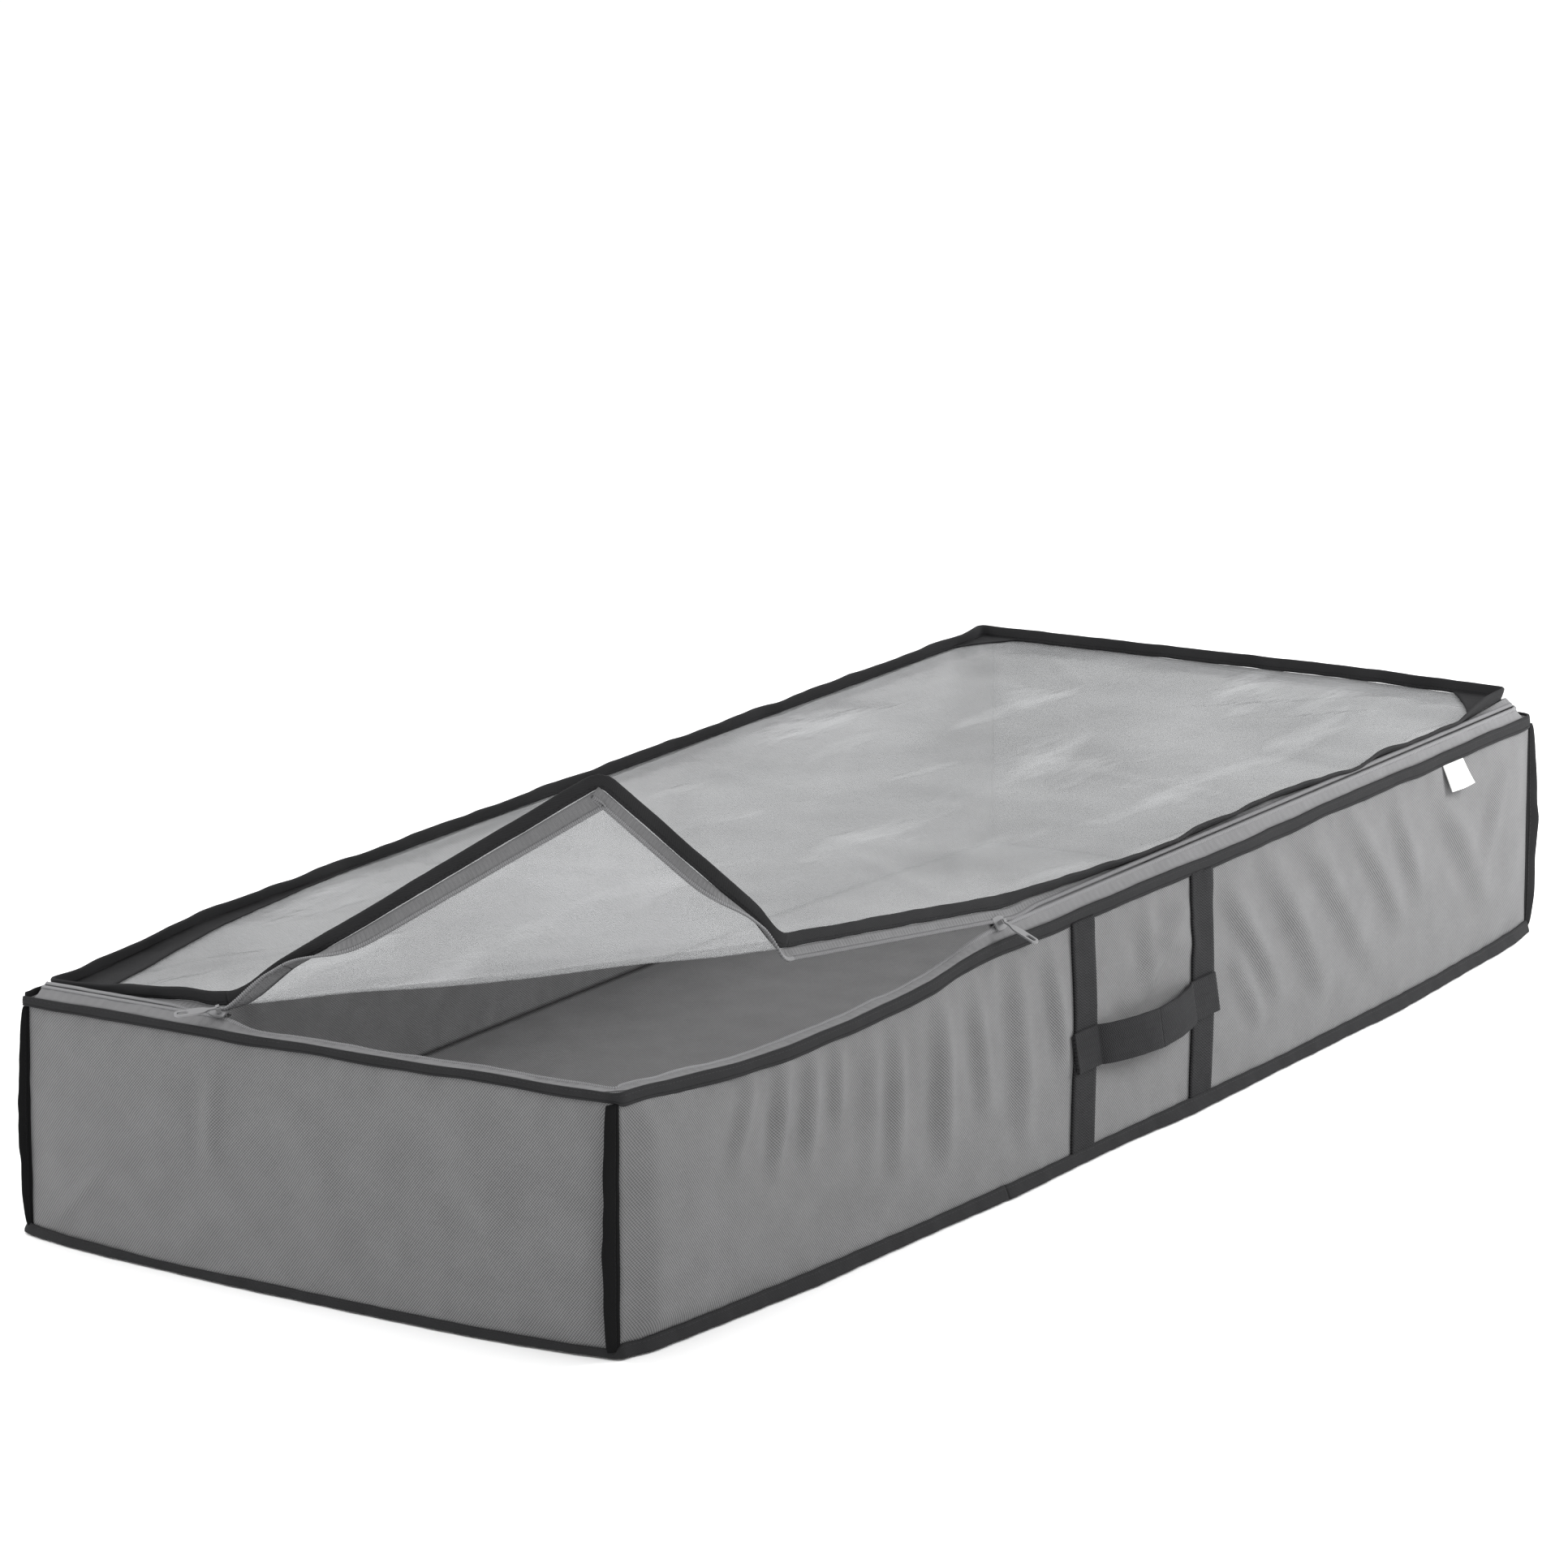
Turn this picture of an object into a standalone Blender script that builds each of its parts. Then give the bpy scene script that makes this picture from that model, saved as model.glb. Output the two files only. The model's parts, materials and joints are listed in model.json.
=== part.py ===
"""An under bed storage bag: a low fabric box with a clear zipped lid and a webbing handle.

Metres, +Z up. The origin is the middle of the base. +X runs along the long side, -Y is the side
with the handle, and the lid turns on the seam at +Y. The zip is open round one corner, and that
corner of the lid is folded up. Everything on the lid is drawn in the closed state, and parented
to the empties that stand on the axes it turns about.
"""
import math

import bmesh
import bpy
from mathutils import Matrix, Vector

# ------------------------------------------------------------------ driving dimensions
LENGTH = 1.065
WIDTH = 0.420
HEIGHT = 0.150
GAP = 0.0003
FABRIC = 0.0010

# The walls bow out at the base between their corners, and are straight along the rim.
BOW_LONG = 0.0240
BOW_END = 0.0140
BOW_POWER = 3
BOW_STEPS = 8
PANEL_ROWS = 4

BASE_BINDING_HEIGHT = 0.0090
BASE_BINDING_SPREAD = 0.0030
BASE_BINDING_FOOT = 0.0006
RIM_BINDING_HEIGHT = 0.0085
RIM_BINDING_RISE = 0.0010
BINDING_THICKNESS = 0.0016
SEAM_BINDING_THICKNESS = 0.0010
CORNER_FLANGE_WIDTH = 0.0090
CORNER_FLANGE_THICKNESS = 0.0020

# The lid is a flat sheet that rises from the back seam to the front.
LID_HINGE_Z = HEIGHT + 0.0020
LID_RISE = 0.0140
LID_END_INSET = 0.0200
LID_FRONT_INSET = 0.0110
LID_BACK_INSET = 0.0025
WINDOW_THICKNESS = 0.0008
FLANGE_HEIGHT = 0.0085
FLANGE_THICKNESS = 0.0020
FLANGE_LEAN = math.radians(75)
CORNER_FLANGE_LEAN = math.radians(25)

# The zip: two coils with a narrow space between them, each on its own tape.
COIL_SPACE = 0.0012
COIL_WIDTH = 0.0026
COIL_THICKNESS = 0.0020
TAPE_THICKNESS = 0.0006
END_ZIP_TILT = math.radians(20)
ZIP_BACK_Y = 0.2040
ZIP_TURN_Y = -0.1750
ZIP_TURN_X = -0.4900
SLIDER_SPACE = 0.0075

# The open corner: where the sliders stand, where the front edge folds, and how far it is up.
END_SLIDER_Y = 0.0752
FRONT_SLIDER_X = -0.1245
FOLD_FROM_CORNER = 0.1700
LID_FOLD_ANGLE = math.radians(12.5)
CORNER_FOLD_ANGLE = math.radians(47.5)
END_TAPE_TURN = math.radians(105)
FRONT_TAPE_TURN = math.radians(80)
END_FOLD_SPACE = 0.0060
FRONT_FOLD_SPACE = 0.0045
FLAP_TAPE_SETBACK = 0.0160
FOLD_CREASE = 0.0005
SEAM_ALLOWANCE = 0.0006
FOLD_SLIDER_SPACE = 0.0015
FLAP_END_SPACE = 0.0040

# The sliders and their pulls.
SLIDER_LENGTH = 0.0110
SLIDER_WIDTH = 0.0088
SLIDER_PLATE = 0.0010
SLIDER_CLEARANCE = 0.0005
PIN_RADIUS = 0.00055
PIN_HEIGHT = 0.0024
CHEEK_THICKNESS = 0.0009
CHEEK_LENGTH = 0.0024
CHEEK_TOP = 0.0033
SINK = 0.0002
POST_SETBACK = 0.0005
POST_LENGTH = 0.0030
EYE_RADIUS = 0.0015
EYE_BORE_RADIUS = 0.0009
EYE_WIDTH = 0.0022
PULL_LENGTH = 0.0260
PULL_WIDTH = 0.0066
PULL_THICKNESS = 0.0010
# How far along the pull its neck starts and stops, and where it reaches its full width.
NECK_START = 0.0003
NECK_STOP = 0.0050
WAIST = 0.0085
SHOULDER = 0.0120
SLOT_LENGTH = 0.0040
END_PULL_YAW = math.radians(140)
END_PULL_DROOP = math.radians(5)
FRONT_PULL_DROOP = math.radians(22)

# The handle is webbing sewn over two upright straps.
STRAP_WIDTH = 0.0255
STRAP_THICKNESS = 0.0012
STRAP_X = (-0.0367, 0.1026)
STRAP_SLANT = 0.0330
HANDLE_HEIGHT = 0.0250
HANDLE_THICKNESS = 0.0016
HANDLE_Z = 0.0680
HANDLE_BULGE = 0.0100
HANDLE_SAG = 0.0010
HANDLE_ROOT_SHARE = 0.15
HANDLE_SPACE_SHARE = 0.03
PATCH_OVERHANG = 0.0015

LABEL_X = 0.4262
LABEL_WIDTH = 0.0260
LABEL_LENGTH = 0.0190
LABEL_THICKNESS = 0.0006
LABEL_LEAN = math.radians(27)

MATERIALS = {
    "grey_fabric": ((0.22, 0.22, 0.22), 0.90, 0.0),
    "binding_tape": ((0.035, 0.035, 0.037), 0.80, 0.0),
    "zip_tape": ((0.25, 0.25, 0.255), 0.80, 0.0),
    "zip_coil": ((0.38, 0.38, 0.39), 0.45, 0.0),
    "clear_window": ((0.85, 0.87, 0.88), 0.08, 0.0),
    "slider_metal": ((0.42, 0.42, 0.43), 0.35, 0.8),
    "webbing": ((0.040, 0.040, 0.042), 0.75, 0.0),
    "label_white": ((0.90, 0.90, 0.89), 0.60, 0.0),
}


# ------------------------------------------------------------------ scene and materials
def clear_scene():
    for item in list(bpy.data.objects):
        bpy.data.objects.remove(item, do_unlink=True)


def new_collection(name):
    group = bpy.data.collections.new(name)
    bpy.context.scene.collection.children.link(group)
    return group


def make_material(name):
    colour, roughness, metallic = MATERIALS[name]
    material = bpy.data.materials.new(name)
    material.use_nodes = True
    shader = material.node_tree.nodes["Principled BSDF"]
    shader.inputs["Base Color"].default_value = (*colour, 1.0)
    shader.inputs["Roughness"].default_value = roughness
    shader.inputs["Metallic"].default_value = metallic
    return material


clear_scene()
PARTS = new_collection("under_bed_box")
CUTTERS = new_collection("cutters")
LOOKS = {name: make_material(name) for name in MATERIALS}


def place(item, look, hinge=None):
    """Link an object, give it its material, and hang it on a joint's empty."""
    PARTS.objects.link(item)
    item.data.materials.append(LOOKS[look])
    if hinge:
        item.parent = hinge["empty"]
        item.matrix_parent_inverse = hinge["frame"].inverted()
    return item


def mesh_object(name, shape):
    mesh = bpy.data.meshes.new(name)
    shape.to_mesh(mesh)
    shape.free()
    return bpy.data.objects.new(name, mesh)


# ------------------------------------------------------------------ kinds of shape
def plate(name, low, high, look, hinge=None):
    """A box between two corners."""
    middle = (Vector(low) + Vector(high)) / 2
    size = Vector(high) - Vector(low)
    shape = bmesh.new()
    bmesh.ops.create_cube(shape, size=1.0)
    bmesh.ops.scale(shape, vec=size, verts=shape.verts)
    item = place(mesh_object(name, shape), look, hinge)
    item.location = middle
    return item


def strip(name, rails, thickness, look, hinge=None):
    """A band between rails that have the same number of points; it closes if its rails do."""
    columns = len(rails[0])
    rows = len(rails)
    shape = bmesh.new()
    bmesh.ops.create_grid(shape, x_segments=columns - 1, y_segments=rows - 1, size=0.5)
    for vertex in shape.verts:
        column = round((vertex.co.x + 0.5) * (columns - 1))
        row = round((vertex.co.y + 0.5) * (rows - 1))
        vertex.co = rails[row][column]
    bmesh.ops.remove_doubles(shape, verts=shape.verts, dist=0.00002)
    bmesh.ops.recalc_face_normals(shape, faces=shape.faces)
    item = place(mesh_object(name, shape), look, hinge)
    solid = item.modifiers.new("thickness", "SOLIDIFY")
    solid.thickness = thickness
    solid.offset = 0.0
    solid.use_even_offset = True
    return item


def outline(name, loops, thickness, look, matrix, hinge=None):
    """A flat sheet inside its first loop, with the other loops as holes."""
    curve = bpy.data.curves.new(name, "CURVE")
    curve.dimensions = "2D"
    curve.fill_mode = "BOTH"
    curve.extrude = thickness / 2
    for loop in loops:
        spline = curve.splines.new("POLY")
        spline.points.add(len(loop) - 1)
        for point, (x, y) in zip(spline.points, loop):
            point.co = (x, y, 0.0, 1.0)
        spline.use_cyclic_u = True
    item = place(bpy.data.objects.new(name, curve), look, hinge)
    item.matrix_basis = matrix
    return item


def arc_points(middle_y, radius, start, steps=8):
    """Points on half a circle whose middle is on the Y axis."""
    turns = [start + math.pi * step / steps for step in range(steps + 1)]
    return [(radius * math.cos(turn), middle_y + radius * math.sin(turn)) for turn in turns]


# ------------------------------------------------------------------ joints of the lid
def axis_frame(point, direction):
    """A frame at a point with its Z along a direction."""
    turn = Vector(direction).to_track_quat("Z", "Y").to_matrix().to_4x4()
    return Matrix.Translation(point) @ turn


def make_hinge(name, point, direction, angle=0.0, parent=None):
    """An empty on a joint's axis, turned to its rest angle. Points are those of the closed state."""
    frame = axis_frame(point, direction)
    empty = bpy.data.objects.new(name, None)
    empty.empty_display_size = 0.03
    PARTS.objects.link(empty)
    if parent:
        empty.parent = parent["empty"]
        empty.matrix_parent_inverse = parent["frame"].inverted()
    empty.matrix_basis = frame @ Matrix.Rotation(angle, 4, "Z")
    return {"empty": empty, "frame": frame}


HALF_LENGTH = LENGTH / 2
HALF_WIDTH = WIDTH / 2
LID_X = HALF_LENGTH - LID_END_INSET
LID_Y = HALF_WIDTH - LID_FRONT_INSET
LID_DEPTH = HALF_WIDTH + LID_Y
LID_TILT = math.atan(LID_RISE / LID_DEPTH)
# The lid's own plane: X along the bag, Y towards the hinge, Z up off the lid.
LID_PLANE = Matrix.Translation((0, HALF_WIDTH, LID_HINGE_Z)) @ Matrix.Rotation(-LID_TILT, 4, "X")
LID_FRONT = -LID_DEPTH / math.cos(LID_TILT)


def lid_height(y):
    return LID_HINGE_Z + (HALF_WIDTH - y) * math.tan(LID_TILT)


def on_lid(x, y, up=0.0):
    """A point of the lid's plane, in the bag's frame, from the lid's own coordinates."""
    return LID_PLANE @ Vector((x, y, up))


END_SLIDER_LID_Y = -(HALF_WIDTH - END_SLIDER_Y) / math.cos(LID_TILT)
FOLD_END = (-LID_X, END_SLIDER_LID_Y)
FOLD_FRONT = (FRONT_SLIDER_X, LID_FRONT)
FOLD_CORNER = (-LID_X + FOLD_FROM_CORNER, LID_FRONT)
CORNER = (-LID_X, LID_FRONT)

LID = make_hinge("lid_hinge", (0, HALF_WIDTH, LID_HINGE_Z), (-1, 0, 0))
FOLD = make_hinge(
    "lid_fold",
    on_lid(*FOLD_END),
    on_lid(*FOLD_END) - on_lid(*FOLD_FRONT),
    LID_FOLD_ANGLE,
    LID,
)
FLAP = make_hinge(
    "corner_fold",
    on_lid(*FOLD_END),
    on_lid(*FOLD_END) - on_lid(*FOLD_CORNER),
    CORNER_FOLD_ANGLE,
    FOLD,
)
END_TURN = make_hinge(
    "end_tape_turn",
    on_lid(*CORNER),
    on_lid(*CORNER) - on_lid(*FOLD_END),
    END_TAPE_TURN,
    FLAP,
)
FRONT_TURN = make_hinge(
    "front_tape_turn",
    on_lid(*CORNER),
    on_lid(*FOLD_CORNER) - on_lid(*CORNER),
    FRONT_TAPE_TURN,
    FLAP,
)


# ------------------------------------------------------------------ the fabric box
RIM_BINDING_LOW = HEIGHT + RIM_BINDING_RISE - RIM_BINDING_HEIGHT
BOW_STATIONS = [-1 + 2 * step / BOW_STEPS for step in range(BOW_STEPS + 1)]
# Each wall's bow, half its length, and how far it stands from the middle of the bag.
WALLS = {
    "front": (BOW_LONG, HALF_LENGTH, HALF_WIDTH),
    "far_end": (BOW_END, HALF_WIDTH, HALF_LENGTH),
    "back": (BOW_LONG, HALF_LENGTH, HALF_WIDTH),
    "near_end": (BOW_END, HALF_WIDTH, HALF_LENGTH),
}
WALL_TURNS = {
    side: Matrix.Rotation(index * math.pi / 2, 3, "Z") for index, side in enumerate(WALLS)
}


def bow_share(station):
    return 1 - abs(station) ** BOW_POWER


def bow_at(amount, station, z):
    """How far a wall stands out here. It is straight between its stations, and up its height."""
    place = (min(max(station, -1), 1) + 1) / 2 * BOW_STEPS
    before = min(int(place), BOW_STEPS - 1)
    ends = [bow_share(BOW_STATIONS[index]) for index in (before, before + 1)]
    share = ends[0] + (ends[1] - ends[0]) * (place - before)
    return amount * share * max(0, 1 - z / RIM_BINDING_LOW)


def front_wall(x, out, z):
    """A point this far outside the front wall."""
    return Vector((x, -HALF_WIDTH - out - bow_at(BOW_LONG, x / HALF_LENGTH, z), z))


def wall_rail(side, out, z, trim=0.0):
    """Points along one wall, this far outside it, at its stations. It stops short by a trim."""
    amount, half, depth = WALLS[side]
    points = []
    for station in BOW_STATIONS:
        along = station * half
        if abs(station) == 1:
            along = station * (half + out - trim)
        away = depth + out + bow_at(amount, along / half, z)
        points.append(Vector((along, -away, z)))
    turn = WALL_TURNS[side]
    return [turn @ point for point in points]


def ring(sides, out, z):
    """The rails of several walls in turn, joined at the corners they share."""
    points = wall_rail(sides[0], out, z)
    for side in sides[1:]:
        points += wall_rail(side, out, z)[1:]
    return points


def make_panels():
    middle = -FABRIC / 2
    rise = (RIM_BINDING_LOW - BASE_BINDING_HEIGHT) / PANEL_ROWS
    levels = [BASE_BINDING_HEIGHT + rise * row for row in range(PANEL_ROWS + 1)]
    heights = [2 * GAP] + levels + [HEIGHT - GAP]
    short = FABRIC / 2 + GAP
    for side, trim in (("front", short), ("back", short), ("near_end", 0), ("far_end", 0)):
        rails = [wall_rail(side, middle, z, trim) for z in heights]
        strip(f"{side}_panel", rails, FABRIC, "grey_fabric")
    inner = FABRIC + 3 * GAP
    loop = [(point.x, point.y) for point in ring(ALL_SIDES, -inner, 0)[:-1]]
    lift = Matrix.Translation((0, 0, FABRIC / 2))
    outline("bottom_panel", [loop], FABRIC, "grey_fabric", lift)


# The upright trims on the walls stand between the two bindings.
WALL_TRIM_LOW = BASE_BINDING_HEIGHT + 0.0010
WALL_TRIM_HIGH = RIM_BINDING_LOW - GAP
ALL_SIDES = ("front", "far_end", "back", "near_end")
ZIPPED_SIDES = ("near_end", "front", "far_end")


def make_box_bindings():
    half = BINDING_THICKNESS / 2
    foot = ring(ALL_SIDES, GAP + half + BASE_BINDING_SPREAD, BASE_BINDING_FOOT)
    head = ring(ALL_SIDES, GAP + half, BASE_BINDING_HEIGHT)
    strip("bottom_binding", [foot, head], BINDING_THICKNESS, "binding_tape")
    heights = (RIM_BINDING_LOW, HEIGHT + RIM_BINDING_RISE)
    rails = [ring(ZIPPED_SIDES, GAP + half, z) for z in heights]
    strip("rim_binding", rails, BINDING_THICKNESS, "binding_tape")
    out = GAP + SEAM_BINDING_THICKNESS / 2
    rails = [wall_rail("back", out, z, out) for z in (RIM_BINDING_LOW, HEIGHT - GAP)]
    strip("back_seam_binding", rails, SEAM_BINDING_THICKNESS, "binding_tape")
    for end_name, end in (("near", -1), ("far", 1)):
        for side_name, side in (("front", -1), ("back", 1)):
            flange = plate(
                f"corner_binding_{end_name}_{side_name}",
                (0, -CORNER_FLANGE_THICKNESS / 2, WALL_TRIM_LOW),
                (CORNER_FLANGE_WIDTH, CORNER_FLANGE_THICKNESS / 2, WALL_TRIM_HIGH),
                "binding_tape",
            )
            heading = math.atan2(side, end)
            reach = 2 * GAP + CORNER_FLANGE_WIDTH / 2
            flange.location.x = end * HALF_LENGTH + reach * math.cos(heading)
            flange.location.y = side * HALF_WIDTH + reach * math.sin(heading)
            flange.rotation_euler.z = heading


# ------------------------------------------------------------------ the zip
END_COIL_X = -HALF_LENGTH + LID_END_INSET / 2
FRONT_COIL_Y = -HALF_WIDTH + LID_FRONT_INSET / 2
FRONT_COIL_Z = (HEIGHT + lid_height(-LID_Y)) / 2
FRONT_ZIP_TILT = math.atan2(lid_height(-LID_Y) - HEIGHT, LID_FRONT_INSET)


def end_coil_height(y):
    return (HEIGHT + lid_height(y)) / 2


def across_end(y, across):
    """A point of the end zip, this far from its middle towards the lid."""
    x = END_COIL_X + across * math.cos(END_ZIP_TILT)
    return Vector((x, y, end_coil_height(y) + across * math.sin(END_ZIP_TILT)))


def across_front(x, across):
    """A point of the front zip, this far from its middle towards the lid."""
    y = FRONT_COIL_Y + across * math.cos(FRONT_ZIP_TILT)
    return Vector((x, y, FRONT_COIL_Z + across * math.sin(FRONT_ZIP_TILT)))


def across_corner(across):
    """Where the end zip's line meets the front zip's, this far from the middle."""
    return across_front(across_end(0, across).x, across)


TAPE_RIM_Z = HEIGHT + 0.0008


def rim_end(y):
    return Vector((-HALF_LENGTH + GAP, y, TAPE_RIM_Z))


def rim_front(x):
    return Vector((x, -HALF_WIDTH + GAP, TAPE_RIM_Z))


def lid_end(y, clear):
    return Vector((-LID_X - clear, y, lid_height(y)))


def lid_front(x, clear):
    return Vector((x, -LID_Y - clear, lid_height(-LID_Y)))


def mirrored(points):
    return [Vector((-point.x, point.y, point.z)) for point in reversed(points)]


def full_round(end_point, front_point, corner_point):
    """A rail from the near back corner, round the front, to the far back corner."""
    near = [end_point(ZIP_BACK_Y), end_point(ZIP_TURN_Y), corner_point, front_point(ZIP_TURN_X)]
    return near + mirrored(near)


def box_rail(across):
    return full_round(
        lambda y: across_end(y, across),
        lambda x: across_front(x, across),
        across_corner(across),
    )


COIL_INNER = COIL_SPACE / 2
COIL_OUTER = COIL_INNER + COIL_WIDTH
TAPE_INNER = COIL_OUTER + GAP
LID_CLEAR = FLANGE_THICKNESS / 2 + 1.5 * GAP


def make_box_zip():
    rim_corner = Vector((-HALF_LENGTH + GAP, -HALF_WIDTH + GAP, TAPE_RIM_Z))
    rim = full_round(rim_end, rim_front, rim_corner)
    strip("box_zip_tape", [rim, box_rail(-TAPE_INNER)], TAPE_THICKNESS, "zip_tape")
    rails = [box_rail(-COIL_OUTER), box_rail(-COIL_INNER)]
    strip("box_zip_coil", rails, COIL_THICKNESS, "zip_coil")


def end_run(start, stop, rail):
    """Points of an end rail between two places, with the one where the zip starts to turn."""
    places = [start]
    if start > ZIP_TURN_Y > stop:
        places.append(ZIP_TURN_Y)
    places.append(stop)
    return [rail(y) for y in places]


def make_lid_zip_part(kind, thickness, inner, edge_rails):
    """The coil, or the tape, of the lid's half of the zip, in the pieces that the folds make of it.

    It runs from an inner line, measured from the zip's middle, to the edge that edge_rails gives.
    """
    end_edge, front_edge, corner_edge = edge_rails
    look = f"zip_{kind}"

    def end_inner(y):
        return across_end(y, inner)

    def front_inner(x):
        return across_front(x, inner)

    def end_piece(name, start, stop, hinge):
        rails = [end_run(start, stop, rail) for rail in (end_inner, end_edge)]
        strip(f"{name}_{kind}", rails, thickness, look, hinge)

    def front_piece(name, start, stop, hinge):
        rails = [[rail(start), rail(stop)] for rail in (front_inner, front_edge)]
        strip(f"{name}_{kind}", rails, thickness, look, hinge)

    end_piece("lid_end_zip", ZIP_BACK_Y, END_SLIDER_Y + SLIDER_SPACE, LID)
    round_inner = full_round(end_inner, front_inner, across_corner(inner))
    round_edge = full_round(end_edge, front_edge, corner_edge)
    half = len(round_inner) // 2
    start = FRONT_SLIDER_X + SLIDER_SPACE
    rails = [[front_inner(start)] + round_inner[half:], [front_edge(start)] + round_edge[half:]]
    strip(f"lid_front_zip_{kind}", rails, thickness, look, LID)
    front_piece("fold_zip", FOLD_CORNER[0] + FRONT_FOLD_SPACE, FRONT_SLIDER_X - SLIDER_SPACE, FOLD)
    setback = FLAP_TAPE_SETBACK
    end_piece("flap_end_zip", END_SLIDER_Y - setback, -LID_Y + setback, END_TURN)
    front_piece("flap_front_zip", -LID_X + setback, FOLD_CORNER[0] - setback, FRONT_TURN)


def make_lid_zip():
    coil_rails = (
        lambda y: across_end(y, COIL_OUTER),
        lambda x: across_front(x, COIL_OUTER),
        across_corner(COIL_OUTER),
    )
    make_lid_zip_part("coil", COIL_THICKNESS, COIL_INNER, coil_rails)
    tape_rails = (
        lambda y: lid_end(y, LID_CLEAR),
        lambda x: lid_front(x, LID_CLEAR),
        lid_front(-LID_X - LID_CLEAR, LID_CLEAR),
    )
    make_lid_zip_part("tape", TAPE_THICKNESS, TAPE_INNER, tape_rails)


# ------------------------------------------------------------------ the clear lid
def inset_polygon(corners, insets):
    """A convex polygon with each side moved in; corners run anticlockwise, side i from corner i."""
    count = len(corners)
    lines = []
    for index in range(count):
        start = Vector(corners[index])
        along = (Vector(corners[(index + 1) % count]) - start).normalized()
        inward = Vector((-along.y, along.x))
        lines.append((start + inward * insets[index], along))
    result = []
    for index in range(count):
        before, before_along = lines[index - 1]
        after, after_along = lines[index]
        cross = before_along.x * after_along.y - before_along.y * after_along.x
        offset = after - before
        reach = (offset.x * after_along.y - offset.y * after_along.x) / cross
        point = before + before_along * reach
        result.append((point.x, point.y))
    return result


def make_windows():
    hem = LID_CLEAR
    crease = FOLD_CREASE
    back = -LID_BACK_INSET
    lid = [FOLD_END, FOLD_FRONT, (LID_X, LID_FRONT), (LID_X, back), (-LID_X, back)]
    fold = [FOLD_END, FOLD_CORNER, FOLD_FRONT]
    flap = [FOLD_END, CORNER, FOLD_CORNER]
    sheets = (
        ("lid_window", lid, (crease, hem, hem, hem, hem), LID),
        ("fold_window", fold, (crease, hem, crease), FOLD),
        ("flap_window", flap, (hem, hem, crease), FLAP),
    )
    for name, corners, insets, hinge in sheets:
        loop = inset_polygon(corners, insets)
        outline(name, [loop], WINDOW_THICKNESS, "clear_window", LID_PLANE, hinge)


def make_lid_bindings():
    """The bound edge stands up off the lid as a flange, and leans out over the zip."""
    foot = -SEAM_ALLOWANCE
    out = FLANGE_HEIGHT * math.cos(FLANGE_LEAN)
    up = foot + FLANGE_HEIGHT * math.sin(FLANGE_LEAN)
    start_y = END_SLIDER_LID_Y + END_FOLD_SPACE / 2
    start_x = FRONT_SLIDER_X + FOLD_SLIDER_SPACE
    back = -LID_BACK_INSET
    low = [(-LID_X, start_y), (-LID_X, back), (LID_X, back), (LID_X, LID_FRONT), (start_x, LID_FRONT)]
    high = [
        (-LID_X - out, start_y),
        (-LID_X - out, back),
        (LID_X + out, back),
        (LID_X + out, LID_FRONT - out),
        (start_x, LID_FRONT - out),
    ]
    rails = [[on_lid(*p, foot) for p in low], [on_lid(*p, up) for p in high]]
    strip("lid_binding", rails, FLANGE_THICKNESS, "binding_tape", LID)

    ends = (FOLD_CORNER[0] + FRONT_FOLD_SPACE, FRONT_SLIDER_X - FOLD_SLIDER_SPACE)
    rails = [
        [on_lid(x, LID_FRONT, foot) for x in ends],
        [on_lid(x, LID_FRONT - out, up) for x in ends],
    ]
    strip("fold_binding", rails, FLANGE_THICKNESS, "binding_tape", FOLD)

    foot = SEAM_ALLOWANCE
    out = FLANGE_HEIGHT * math.cos(CORNER_FLANGE_LEAN)
    up = foot + FLANGE_HEIGHT * math.sin(CORNER_FLANGE_LEAN)
    start_y = END_SLIDER_LID_Y - END_FOLD_SPACE / 2 - FLAP_END_SPACE
    stop_x = FOLD_CORNER[0] - FRONT_FOLD_SPACE
    low = [(-LID_X, start_y), CORNER, (stop_x, LID_FRONT)]
    high = [(-LID_X - out, start_y), (-LID_X - out, LID_FRONT - out), (stop_x, LID_FRONT - out)]
    rails = [[on_lid(*p, foot) for p in low], [on_lid(*p, up) for p in high]]
    strip("flap_binding", rails, FLANGE_THICKNESS, "binding_tape", FLAP)


# ------------------------------------------------------------------ sliders and pulls
def joined(name, shapes, look, cuts=()):
    """One solid made of several, less its cuts."""
    base, *others = shapes
    item = place(base, look)
    item.name = name
    for other in list(others) + list(cuts):
        CUTTERS.objects.link(other)
        other.hide_render = True
        other.display_type = "WIRE"
        step = item.modifiers.new("join", "BOOLEAN")
        step.object = other
        step.operation = "DIFFERENCE" if other in cuts else "UNION"
    return item


def block(name, low, high, frame):
    shape = bmesh.new()
    bmesh.ops.create_cube(shape, size=1.0)
    bmesh.ops.scale(shape, vec=Vector(high) - Vector(low), verts=shape.verts)
    bmesh.ops.translate(shape, vec=(Vector(low) + Vector(high)) / 2, verts=shape.verts)
    item = mesh_object(name, shape)
    item.matrix_basis = frame
    return item


def rod(name, radius, length, frame, sides=20):
    """A cylinder along the frame's X, centred on it."""
    shape = bmesh.new()
    bmesh.ops.create_cone(
        shape,
        cap_ends=True,
        segments=sides,
        radius1=radius,
        radius2=radius,
        depth=length,
        matrix=Matrix.Rotation(math.pi / 2, 4, "Y"),
    )
    item = mesh_object(name, shape)
    item.matrix_basis = frame
    return item


def slider_plan(width, length):
    """A slider plate seen from above: blunt at the closed end, wide at the mouths."""
    half = length / 2
    narrow = width * 0.36
    wide = width / 2
    return [
        (-half, -wide * 0.9),
        (-half * 0.6, -wide),
        (half * 0.3, -wide),
        (half, -narrow),
        (half, narrow),
        (half * 0.3, wide),
        (-half * 0.6, wide),
        (-half, wide * 0.9),
    ]


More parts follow.
